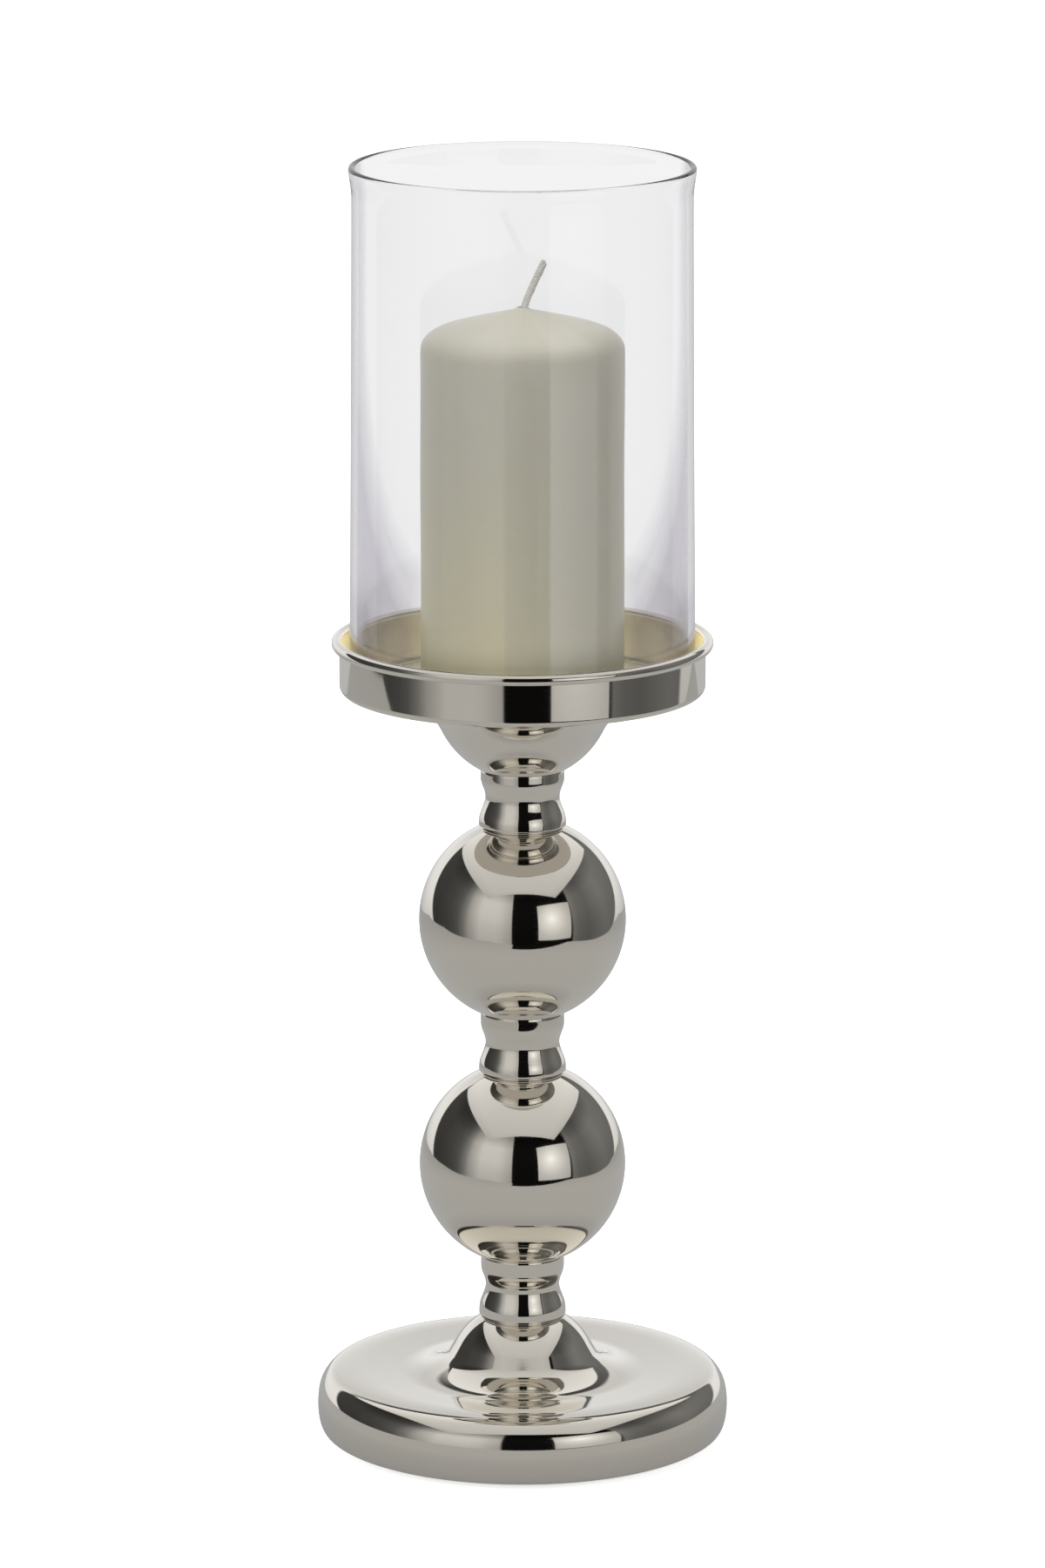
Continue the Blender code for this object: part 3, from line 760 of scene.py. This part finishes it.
# ---------------------------------------------------------------- tray
tray_radius, tray_low, tray_high = extent("tray_dish")
BEAD = 1.9  # radius of the bead along the rim
WALL_INSET = 0.7  # the wall's outer face, inside the bead's centre
FLOOR_Z = 260.9
UNDER_Z = 259.4
HEEL, HEEL_Z = 2.4, 259.7  # outer corner at the foot of the wall
FLOOR_CORNER = 1.2
HUB_R, HUB_FACE_R, HUB_RECESS_R = 12.2, 10.0, 11.0
HUB_SKIN = 1.2
bead_x, bead_z = tray_radius - BEAD, tray_high - BEAD
wall_out = bead_x - WALL_INSET
wall_in = bead_x - BEAD
meets = -(90 + math.degrees(math.asin(WALL_INSET / BEAD)))
line = arc(BEAD, (bead_x, bead_z), 180, meets, count=44)
line += arc(HEEL, (wall_out - HEEL, HEEL_Z + HEEL), 0, -90, count=20)
line += [(rim_radius + 0.9, UNDER_Z), (20.0, UNDER_Z)]
line += rounded(
    [(13.5, UNDER_Z, 0), (HUB_R, UNDER_Z, 0.8), (HUB_R, tray_low, 1.6), (HUB_FACE_R, tray_low, 0)],
    steps=6,
)
hub_z = tray_low + HUB_SKIN
line += [(HOLE, tray_low), (HOLE, hub_z)]
line += rounded(
    [(8.0, hub_z, 0), (HUB_RECESS_R, hub_z, 0.9), (HUB_RECESS_R, FLOOR_Z, 0.8), (13.0, FLOOR_Z, 0)],
    steps=6,
)
line += [(30.0, FLOOR_Z), (48.0, FLOOR_Z)]
line += arc(FLOOR_CORNER, (wall_in - FLOOR_CORNER, FLOOR_Z + FLOOR_CORNER), -90, 0, count=16)
obj = spun("tray_dish_spun", line, sides=320, sharp=50.0)
piece(obj, "stand", tray_nickel(), "tray_dish")

# ---------------------------------------------------------------- glass
glass_radius, glass_low, glass_high = extent("glass_cylinder")
WALL = 2.2
LIP_R = 57.8
NECK_R, NECK_Z = 56.8, 425.0
FOOT_EDGE = 1.3  # height of the squared foot
half_wall = WALL / 2
outer = spline(
    [
        (LIP_R, glass_high - half_wall),
        (LIP_R - 0.1, glass_high - 2.6),
        (LIP_R - 0.5, glass_high - 5.2),
        (NECK_R + 0.05, glass_high - 9.0),
        (NECK_R, NECK_Z),
        (NECK_R + 0.1, 405.0),
        (NECK_R + 0.5, 350.0),
        (NECK_R + 0.95, 300.0),
        (glass_radius - 0.03, 270.0),
        (glass_radius, glass_low + 1.4),
    ],
    per=10,
)
line = arc(half_wall, (LIP_R - half_wall, glass_high - half_wall), 180, 0, count=18)
line += outer
line += rounded(
    [
        (glass_radius, glass_low + FOOT_EDGE, 0),
        (glass_radius, glass_low, 0.8),
        (glass_radius - WALL, glass_low, 0.8),
        (glass_radius - WALL, glass_low + FOOT_EDGE, 0),
    ],
    steps=6,
)
line += [(radius - WALL, z) for radius, z in outer[::-1]]
obj = spun("glass_cylinder_blown", line, sides=288, sharp=60.0)
piece(obj, "glass", glass(), "glass_cylinder")

# ---------------------------------------------------------------- candle
wax_radius, wax_low, wax_high = extent("candle_wax")
WICK_HOLE = 1.55
CONE_R = 24.6  # the top slopes evenly out to here
CONE_SLOPE = (390.3 - 384.0) / CONE_R
SWAY, SWAY_LOBES, SWAY_TWIST = 0.0022, 3, 90.0  # share of radius, count, radians per metre
SWAY_OUTSIDE = 0.02  # metres from the axis
apex = wax_high + 0.4
line = spline(
    [
        (WICK_HOLE, apex - 0.1),
        (1.9, apex - 0.15),
        (2.6, apex - 0.75),
        (3.8, apex - 1.15),
        (6.0, apex - CONE_SLOPE * 6.0 - 0.1),
        (12.0, apex - CONE_SLOPE * 12.0),
        (19.0, apex - CONE_SLOPE * 19.0 + 0.05),
        (CONE_R, apex - CONE_SLOPE * CONE_R),
        (27.8, 382.9),
        (30.4, 381.6),
        (32.3, 380.1),
        (33.5, 378.4),
        (33.98, 376.9),
        (wax_radius, 375.2),
    ],
    per=7,
)
line += [(wax_radius, z) for z in np.linspace(373.0, wax_low + 1.6, 26)]
line += rounded(
    [(wax_radius, wax_low + 1.5, 0), (wax_radius, wax_low, 1.2), (20.0, wax_low, 0)], steps=6
)
line += [(WICK_HOLE, wax_low)]
line += [(WICK_HOLE, z) for z in np.linspace(wax_low + 10, apex - 1.0, 12)]
candle = spun("candle_wax_cast", line, sides=224, sharp=50.0)
# the side sways in and out a little, twisting as it rises
coords = np.zeros(len(candle.data.vertices) * 3)
candle.data.vertices.foreach_get("co", coords)
coords = coords.reshape(-1, 3)
turn = np.arctan2(coords[:, 1], coords[:, 0])
away = np.hypot(coords[:, 0], coords[:, 1])
wave = np.sin(SWAY_LOBES * turn + SWAY_TWIST * coords[:, 2])
coords[:, :2] *= (1.0 + SWAY * wave * (away > SWAY_OUTSIDE))[:, None]
candle.data.vertices.foreach_set("co", coords.ravel())
candle.data.update()
piece(candle, "candle", wax(), "candle_wax")

# ---------------------------------------------------------------- wick
wick_low = extent("candle_wick")[1]
STRANDS, STRAND_R, STRAND_PITCH = 4, 0.62, 4.6
# centre line (x, y, z), leaning towards +X above the wax
WICK_PATH = [
    (0.0, 0.0, wick_low), (0.0, 0.0, 300.0), (0.0, 0.0, 350.0), (0.0, 0.0, 380.0),
    (0.15, 0.0, 387.0), (0.75, 0.0, 390.4), (1.5, 0.0, 392.8), (2.6, 0.1, 395.4),
    (4.1, 0.1, 398.8), (5.7, 0.0, 402.2), (7.0, 0.0, 405.0),
]


def wick_tubes():
    """Twisted strands, fibres spreading from the cut end and loose hairs near it."""
    path = np.array(spline(WICK_PATH, per=60))
    gaps = np.linalg.norm(np.diff(path, axis=0), axis=1)
    length = np.concatenate([[0], np.cumsum(gaps)])
    steps = np.linspace(0, length[-1], 760)
    centre = np.column_stack([np.interp(steps, length, path[:, k]) for k in range(3)])
    tangent = np.gradient(centre, axis=0)
    tangent /= np.linalg.norm(tangent, axis=1)[:, None]
    across = np.cross(tangent, [0, 1.0, 0])
    across /= np.linalg.norm(across, axis=1)[:, None]
    over = np.cross(tangent, across)
    inside = np.clip((388.5 - centre[:, 2]) / 3.0, 0, 1)
    radius = STRAND_R * (1.0 - 0.12 * inside)  # squeezed inside the wax
    tubes = []
    for strand in range(STRANDS):
        angle = 2 * math.pi * (steps / STRAND_PITCH + strand / STRANDS)
        line = centre + (np.cos(angle) * radius)[:, None] * across
        line += (np.sin(angle) * radius)[:, None] * over
        tubes.append(tube(line, radius, sides=10))

    random = np.random.default_rng(11)
    tip, ahead = centre[-1], tangent[-1]
    rooted = 1.2  # how far back from the tip the fibres start
    t = np.linspace(0, 1, 6)[:, None]
    for _ in range(34):
        angle = random.uniform(0, 2 * math.pi)
        start = random.uniform(0.1, 0.95)
        spread = random.uniform(0.05, 0.55)
        out = math.cos(angle) * across[-1] + math.sin(angle) * over[-1]
        reach = random.uniform(0.5, 1.3)
        line = tip - ahead * rooted + out * start + ahead * (rooted + reach) * t
        line = line + out * spread * t**2
        tubes.append(tube(line, np.linspace(0.07, 0.035, 6), sides=5))

    t = np.linspace(0, 1, 5)[:, None]
    for _ in range(26):
        i = int(random.integers(640, 752))
        angle = random.uniform(0, 2 * math.pi)
        out = math.cos(angle) * across[i] + math.sin(angle) * over[i]
        line = centre[i] + out * 1.1 + out * random.uniform(0.1, 0.4) * np.sin(t * 3.0)
        line = line + tangent[i] * random.uniform(0.8, 2.0) * t
        tubes.append(tube(line, 0.035, sides=4))
    return tubes


verts, faces, start = [], [], 0
for tube_verts, tube_faces in wick_tubes():
    verts.append(tube_verts)
    faces += [[i + start for i in face] for face in tube_faces]
    start += len(tube_verts)
obj = mesh_object("candle_wick_braid", np.vstack(verts), faces, sharp=180.0)
piece(obj, "candle", cotton(), "candle_wick")

# ---------------------------------------------------------------- felt
felt_radius, low, high = extent("felt_pad")
line = rounded([(0.0, high, 0), (felt_radius, high, 0.5), (felt_radius, low, 0.25), (0.0, low, 0)])
line = filled(line, 2.5, lambda run, rise: abs(run)) + [line[-1]]
obj = spun("felt_pad_cut", line, sides=256, sharp=60.0)
piece(obj, "stand", felt(), "felt_pad")

# ---------------------------------------------------------------- base cover
cover_radius, low, high = extent("base_cover_plate")
GROOVE = 0.3  # depth of the ring pressed into the top
line = rounded(
    [
        (0.0, high, 0),
        (18.0, high, 0.5),
        (19.0, high - GROOVE, 0.5),
        (22.0, high - GROOVE, 0.5),
        (23.0, high, 0.5),
        (cover_radius, high, 0.35),
        (cover_radius, low, 0.2),
        (0.0, low, 0),
    ],
    steps=4,
)
zinc = plated("zinc_plate", bright=(0.60, 0.61, 0.62), dull=(0.50, 0.51, 0.50), rough=0.22)
spring = plated("spring_steel", bright=(0.36, 0.37, 0.39), dull=(0.26, 0.26, 0.27), rough=0.3)
obj = spun("base_cover_plate_pressed", line, sides=192, sharp=30.0)
piece(obj, "stand", zinc, "base_cover_plate")

# ---------------------------------------------------------------- base weight
weight_radius, low, high = extent("base_weight")
line = rounded(
    [
        (HOLE, high, 0.6),
        (10.0, high, 1.2),
        (18.0, 17.0, 4.0),
        (22.0, 16.0, 4.0),
        (weight_radius, 16.0, 2.0),
        (weight_radius, low, 1.2),
        (13.0, low, 0.8),
        (13.0, 14.0, 0.8),
        (HOLE, 14.0, 0.5),
    ]
)
line = filled(line + line[:1], 1.5, math.hypot)
obj = spun("base_weight_cast", line, sides=160, sharp=45.0)
piece(obj, "stand", cast_iron(), "base_weight")

# ---------------------------------------------------------------- rod
rod_radius, rod_low, rod_high = extent("tie_rod")
PITCH, DEPTH = 1.0, 0.55
THREADED = 24.0  # length of thread at each end
RUNOUT = 2.0  # the thread fades over this
CHAMFER, CHAMFER_LENGTH = 0.75, 0.9


def thread(phase):
    """Height of a thread flank from 0 at the root to 1 at the crest."""
    return np.clip(1.35 * np.abs((phase % 1.0) * 2 - 1) - 0.15, 0, 1)


def threaded_radius(radius, z, angles):
    if radius < rod_radius - 0.1:  # the end faces
        return np.full(len(angles), radius)
    end = min(rod_high - z, z - rod_low)
    lead = np.clip(end / CHAMFER_LENGTH, 0.0, 1.0)
    runout = np.clip((THREADED - end) / RUNOUT, 0.0, 1.0)
    height = thread(z / PITCH - angles / (2 * math.pi))
    threaded = rod_radius - DEPTH + DEPTH * height
    body = threaded * runout + rod_radius * (1 - runout)
    return np.minimum(body, rod_radius - CHAMFER + CHAMFER * lead)


plain = THREADED + 2.0
heights = [
    *np.arange(rod_high - 0.02, rod_high - THREADED, -PITCH / 9),
    *np.linspace(rod_high - plain, rod_low + plain, 22),
    *np.arange(rod_low + THREADED, rod_low + 0.02, -PITCH / 9),
]
line = [(0.0, rod_high), (rod_radius - CHAMFER, rod_high)]
line += [(rod_radius, z) for z in heights]
line += [(rod_radius - CHAMFER, rod_low), (0.0, rod_low)]
obj = spun("tie_rod_threaded", line, sides=48, sharp=55.0, radius_at=threaded_radius)
piece(obj, "stand", zinc, "tie_rod")


# ---------------------------------------------------------------- washers and nuts
def make_washer(node):
    radius, low, high = extent(node)
    line = rounded([(HOLE, high, 0.15), (radius, high, 0.45), (radius, low, 0.15), (HOLE, low, 0.2)])
    obj = spun(node + "_punched", line, sides=96, sharp=50.0)
    piece(obj, "stand", zinc, node)


def make_lock_washer(node):
    """A split ring of nearly square section whose ends stand a little apart."""
    bore, corner = HOLE - 0.1, 0.18
    half_gap, slant = 7, 0.16  # degrees; radians the cut leans per millimetre of height
    count = 90
    radius, low, high = extent(node)
    corners = ((bore, high), (radius, high), (radius, low), (bore, low))
    section = rounded([(*point, corner) for point in corners], steps=3)
    middle = (low + high) / 2
    verts = []
    for k in range(count + 1):
        turned = (2 * math.pi - math.radians(2 * half_gap)) * (k / count)
        for across, z in section:
            angle = math.radians(half_gap) + turned + (z - middle) * slant
            verts.append((across * math.cos(angle) * MM, across * math.sin(angle) * MM, z * MM))
    size = len(section)
    faces = []
    for k in range(count):
        this, following = k * size, (k + 1) * size
        for j in range(size):
            l = (j + 1) % size
            faces.append([this + j, this + l, following + l, following + j])
    faces.append(list(range(size)))
    faces.append([count * size + j for j in range(size)][::-1])
    obj = mesh_object(node + "_sprung", verts, outwards(verts, faces), sharp=40.0)
    piece(obj, "stand", spring, node)


def make_nut(node):
    """A hexagon with its corners turned off and a threaded hole."""
    low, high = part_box(node)
    flat = (high.y - low.y) / 2 / MM  # axis to a flat
    bottom, top = low.z / MM, high.z / MM
    face = flat - 0.35  # radius where the corners start to fall away
    fall = math.tan(math.radians(30))
    bore, bore_thread = 3.25, 0.2
    sides = 96
    angles = np.linspace(0, 2 * math.pi, sides, endpoint=False)
    hexagon = flat / np.cos((angles % math.radians(60)) - math.radians(30))
    drop = np.maximum(hexagon - face, 0) * fall

    def ring(radius, z):
        return ring_points(np.full(sides, radius), np.full(sides, z), angles)

    rings = [ring(radius, top) for radius in (bore + 0.35, face - 0.6, face)]
    rings.append(ring_points(hexagon, top - drop - 0.02, angles))
    rings.append(ring_points(hexagon, bottom + drop + 0.02, angles))
    rings += [ring(radius, bottom) for radius in (face, face - 0.6, bore + 0.35)]
    for z in np.arange(bottom + 0.3, top - 0.29, PITCH / 10):
        height = thread(z / PITCH - angles / (2 * math.pi) + 0.5)
        rings.append(ring_points(bore - bore_thread * height, np.full(sides, z), angles))
    faces = []
    for i in range(len(rings)):
        this, following = i * sides, (i + 1) % len(rings) * sides
        for k in range(sides):
            l = (k + 1) % sides
            faces.append([this + k, following + k, following + l, this + l])
    verts = np.vstack(rings)
    obj = mesh_object(node + "_forged", verts, outwards(verts, faces), sharp=28.0)
    piece(obj, "stand", zinc, node)


for end in ("base", "tray"):
    make_washer(end + "_washer")
    make_lock_washer(end + "_lock_washer")
    make_nut(end + "_nut")

# ---------------------------------------------------------------- render settings
scene = bpy.context.scene
scene.view_settings.view_transform = "Standard"
scene.view_settings.look = "None"
scene.cycles.max_bounces = 18
scene.cycles.glossy_bounces = 10
scene.cycles.transmission_bounces = 16
scene.cycles.transparent_max_bounces = 16
scene.cycles.diffuse_bounces = 4
scene.cycles.sample_clamp_indirect = 6.0
scene.cycles.caustics_reflective = True
scene.cycles.caustics_refractive = False
scene.cycles.use_denoising = True

# ---------------------------------------------------------------- studio surfaces
RAY_KINDS = ("camera", "diffuse", "glossy", "transmission", "volume_scatter", "shadow")


def flat_sheet(name, corners, material, seen_by):
    """A one-faced studio object that only the given kinds of ray meet."""
    data = bpy.data.meshes.new(name)
    data.from_pydata(corners, [], [list(range(len(corners)))])
    data.materials.append(material)
    obj = bpy.data.objects.new(name, data)
    scene.collection.objects.link(obj)
    for kind in RAY_KINDS:
        setattr(obj, "visible_" + kind, kind in seen_by)


def glowing(m, strength):
    """Finishes a bare material as a plain emission."""
    m.link(m.emission(strength).outputs[0], m.out.inputs["Surface"])
    return m.owner


def floor_material():
    """Pale, softly shadowed round the base, even white further out and through glass."""
    m = surface("pale_floor", "ShaderNodeOutputMaterial")
    path = m.add("ShaderNodeLightPath")
    diffuse = m.add("ShaderNodeBsdfDiffuse")
    m.feed(diffuse.inputs["Color"], (0.80, 0.80, 0.80))
    # (metres from the origin, glow)
    lift = m.ramp(
        m.distance(), [(0.0, 0.66), (0.10, 0.68), (0.3, 0.85), (0.8, 1.0), (2.0, 1.0)]
    )
    emit = m.emission(m.times(path.outputs["Is Camera Ray"], lift))
    m.feed(emit.inputs["Color"], (1.0, 1.0, 0.995))
    both = m.add("ShaderNodeAddShader")
    m.link(diffuse.outputs[0], both.inputs[0])
    m.link(emit.outputs[0], both.inputs[1])
    even = m.emission(0.905)
    through_glass = path.outputs["Is Transmission Ray"]
    mixed = m.mix_shader(through_glass, both.outputs[0], even.outputs[0])
    m.link(mixed, m.out.inputs["Surface"])
    return m.owner


def table_material():
    """Grey, with painted shade that is darkest under the base."""
    m = surface("table_grey", "ShaderNodeOutputMaterial")
    # (metres from the origin, glow); the dim glow near the origin is painted shade under the base
    stops = [
        (0.0, 0.20), (0.062, 0.24), (0.072, 0.34), (0.12, 0.415),
        (0.35, 0.425), (0.8, 0.37), (1.5, 0.35),
    ]
    return glowing(m, m.ramp(m.distance(), stops))


def softbox_material():
    """Brightest along the middle and towards +Y."""
    m = surface("softbox_white", "ShaderNodeOutputMaterial")
    x, y, _ = m.split(m.add("ShaderNodeNewGeometry").outputs["Position"])
    across = m.ramp(
        m.calc("ABSOLUTE", x), [(0.0, 1.0), (0.55, 0.97), (0.78, 0.84)], over=(0.0, 0.8)
    )
    along = m.ramp(y, [(-0.82, 0.50), (-0.7, 0.56), (-0.2, 0.63), (0.4, 0.76), (1.1, 0.88)])
    return glowing(m, m.times(across, along))


def card_material():
    """A bright spot that fades outwards."""
    m = surface("card_white", "ShaderNodeOutputMaterial")
    away = m.distance((0.50, -0.78, 0.37))
    stops = [(0.0, 1.1), (0.05, 0.98), (0.14, 0.80), (0.30, 0.56), (0.45, 0.46)]
    return glowing(m, m.ramp(away, stops))


FLOOR_HALF, FLOOR_Z_M = 12, -0.0002
FLOOR_CORNERS = [
    (x * FLOOR_HALF, y * FLOOR_HALF, FLOOR_Z_M) for x, y in ((-1, -1), (1, -1), (1, 1), (-1, 1))
]
TABLE_CORNERS = [
    (-0.12, -0.66, 0), (-0.11, -0.505, 0), (0.54, -0.47, 0), (0.60, -0.40, 0),
    (0.66, -0.05, 0), (0.76, 0.28, 0), (0.98, 0.55, 0), (1.0, 0.95, 0), (-1.25, 0.95, 0),
    (-1.3, 0.15, 0), (-0.87, -0.25, 0), (-0.66, -0.52, 0), (-0.5, -0.66, 0),
]
SOFTBOX_Z = 0.86
SOFTBOX_CORNERS = [
    (x, y, SOFTBOX_Z) for x, y in ((-0.80, -0.80), (-0.76, 1.05), (0.80, 1.05), (0.74, -0.80))
]
CARD_AWAY = 0.98
# (degrees from -Y towards +X, z)
CARD_STATIONS = ((17.3, 0.0), (54.0, 0.0), (56.5, 0.62), (17.3, 0.66))
CARD_CORNERS = [
    (CARD_AWAY * math.sin(math.radians(turn)), -CARD_AWAY * math.cos(math.radians(turn)), z)
    for turn, z in CARD_STATIONS
]
flat_sheet(
    "studio_floor",
    FLOOR_CORNERS,
    floor_material(),
    seen_by=("camera", "diffuse", "transmission", "shadow"),
)
# what only the polished pieces reflect
flat_sheet("table_top", TABLE_CORNERS, table_material(), seen_by=("glossy",))
flat_sheet("overhead_softbox", SOFTBOX_CORNERS, softbox_material(), seen_by=("glossy",))
flat_sheet("white_card", CARD_CORNERS, card_material(), seen_by=("glossy",))

# ---------------------------------------------------------------- world
# panels round the sides: (azimuth in degrees from -Y towards +X, brightness)
SIDES_AROUND = [
    (-180, 0.045), (-111, 0.04), (-92, 0.053), (-84, 0.066), (-77, 0.09), (-69, 0.18),
    (-62, 0.34), (-56, 0.42), (-49, 0.53), (-31, 0.535), (-24, 0.50), (-18, 0.43),
    (-12.5, 0.38), (-11.3, 0.004), (57, 0.004), (58.5, 0.17), (66, 0.127), (80, 0.11),
    (88, 0.13), (97, 0.15), (106, 0.165), (117, 0.15), (150, 0.13), (180, 0.06),
]
# (elevation in degrees, brightness) of the sides, and of the backdrop's middle and flanks
SIDES_UP = [
    (-90, 1.0), (-12, 0.85), (0, 0.95), (15, 1.15), (28, 1.2), (40, 0.7), (55, 0.3), (90, 0.2),
]
MIDDLE_UP = [
    (-20, 0.42), (-15, 0.43), (-8, 0.52), (0, 0.76), (6, 0.86), (11, 0.80), (17, 0.70),
    (23, 0.62), (29, 0.64), (32, 0.05), (60, 0.04),
]
FLANK_UP = [
    (-20, 0.42), (-15, 0.45), (-6, 0.66), (2, 0.80), (10, 0.86), (22, 0.88), (40, 0.90),
    (52, 0.90), (58, 0.1), (60, 0.05),
]
# the backdrop's edges: (azimuth at elevation 0, degrees outwards per degree up)
LEFT_EDGE, RIGHT_EDGE = (123.7, 0.885), (131.9, 1.15)
# share of the flank's brightness, by degrees of azimuth to either side
FLANK_SHARE = [(125, 1.0), (140, 0.95), (158, 0.35), (170, 0.0)]


def reflected_room(w, azimuth, elevation):
    """Brightness that reflections meet: panels at the sides and a backdrop towards +Y."""
    sides = w.times(w.ramp(azimuth, SIDES_AROUND), w.ramp(elevation, SIDES_UP))
    left, right = (
        w.plus(w.times(elevation, slope), start) for start, slope in (LEFT_EDGE, RIGHT_EDGE)
    )
    is_right = w.calc("GREATER_THAN", azimuth, 0.0)
    aside = w.calc("ABSOLUTE", azimuth)
    beyond = w.minus(aside, w.pick(is_right, left, right))
    on_backdrop = w.ramp(beyond, [(-1.5, 0.0), (1.5, 1.0)])
    middle = w.ramp(elevation, MIDDLE_UP)
    flank = w.ramp(elevation, FLANK_UP)
    far_side = w.ramp(aside, FLANK_SHARE, over=(120, 180))
    return w.pick(on_backdrop, sides, w.pick(far_side, middle, flank))


def light_world(world):
    """White to the camera and, low down, through glass; dim to diffuse rays; a room to others."""
    w = Nodes(world, "ShaderNodeOutputWorld")
    x, y, z = w.split(w.add("ShaderNodeTexCoord").outputs["Generated"])
    azimuth = w.times(w.calc("ARCTAN2", x, w.times(y, -1.0)), 180 / math.pi)
    elevation = w.times(w.calc("ARCSINE", z), 180 / math.pi)
    reflected = reflected_room(w, azimuth, elevation)
    path = w.add("ShaderNodeLightPath").outputs
    low_down = w.ramp(elevation, [(-90, 1.0), (8, 1.0), (16, 0.0), (90, 0.0)])
    through = w.times(path["Is Transmission Ray"], low_down)
    seen = w.calc("MAXIMUM", path["Is Camera Ray"], through)
    diffuse = path["Is Diffuse Ray"]
    unseen = w.plus(w.times(diffuse, 0.30), w.times(w.minus(1.0, diffuse), reflected))
    level = w.plus(w.times(seen, 1.0), w.times(w.minus(1.0, seen), unseen))
    background = w.add("ShaderNodeBackground")
    w.feed(background.inputs["Color"], (1.0, 1.0, 1.0))
    w.link(level, background.inputs["Strength"])
    w.link(background.outputs[0], w.out.inputs["Surface"])


scene.world = bpy.data.worlds.new("studio")
light_world(scene.world)


# ---------------------------------------------------------------- lights
def lamp(name, place, target, size, power):
    """An area light that only lights, and is never mirrored."""
    data = bpy.data.lights.new(name, "AREA")
    data.shape = "RECTANGLE"
    data.size, data.size_y = size
    data.energy = power
    obj = bpy.data.objects.new(name, data)
    obj.location = place
    obj.rotation_mode = "QUATERNION"
    obj.rotation_quaternion = (Vector(target) - Vector(place)).to_track_quat("-Z", "Y")
    scene.collection.objects.link(obj)
    obj.visible_glossy = False
    obj.visible_camera = False
    obj.visible_transmission = False


# name, place, target, (width, height), watts
LAMPS = (
    ("key_overhead", (0.0, 0.15, 1.5), (0, 0, 0.1), (1.8, 1.8), 9.5),
    ("fill_left", (-1.3, -0.9, 0.7), (0, 0, 0.25), (0.9, 1.1), 15.0),
    ("fill_right", (1.2, -1.1, 0.6), (0, 0, 0.25), (0.8, 1.0), 15.0),
    ("back_glow", (0.0, 1.8, 0.8), (0, 0, 0.2), (1.4, 1.0), 3.0),
)
for settings in LAMPS:
    lamp(*settings)

# ---------------------------------------------------------------- camera
CAMERA_PLACE = (0.0, -2.7, 0.83557)
CAMERA_DOWN = 12.692  # degrees below level
camera = bpy.data.objects.new("camera", bpy.data.cameras.new("camera"))
scene.collection.objects.link(camera)
camera.data.sensor_width = 36.0
camera.data.sensor_fit = "AUTO"
camera.data.lens = 188.65
camera.data.clip_end = 60.0
camera.location = CAMERA_PLACE
camera.rotation_euler = (math.radians(90 - CAMERA_DOWN), 0.0, 0.0)
scene.camera = camera
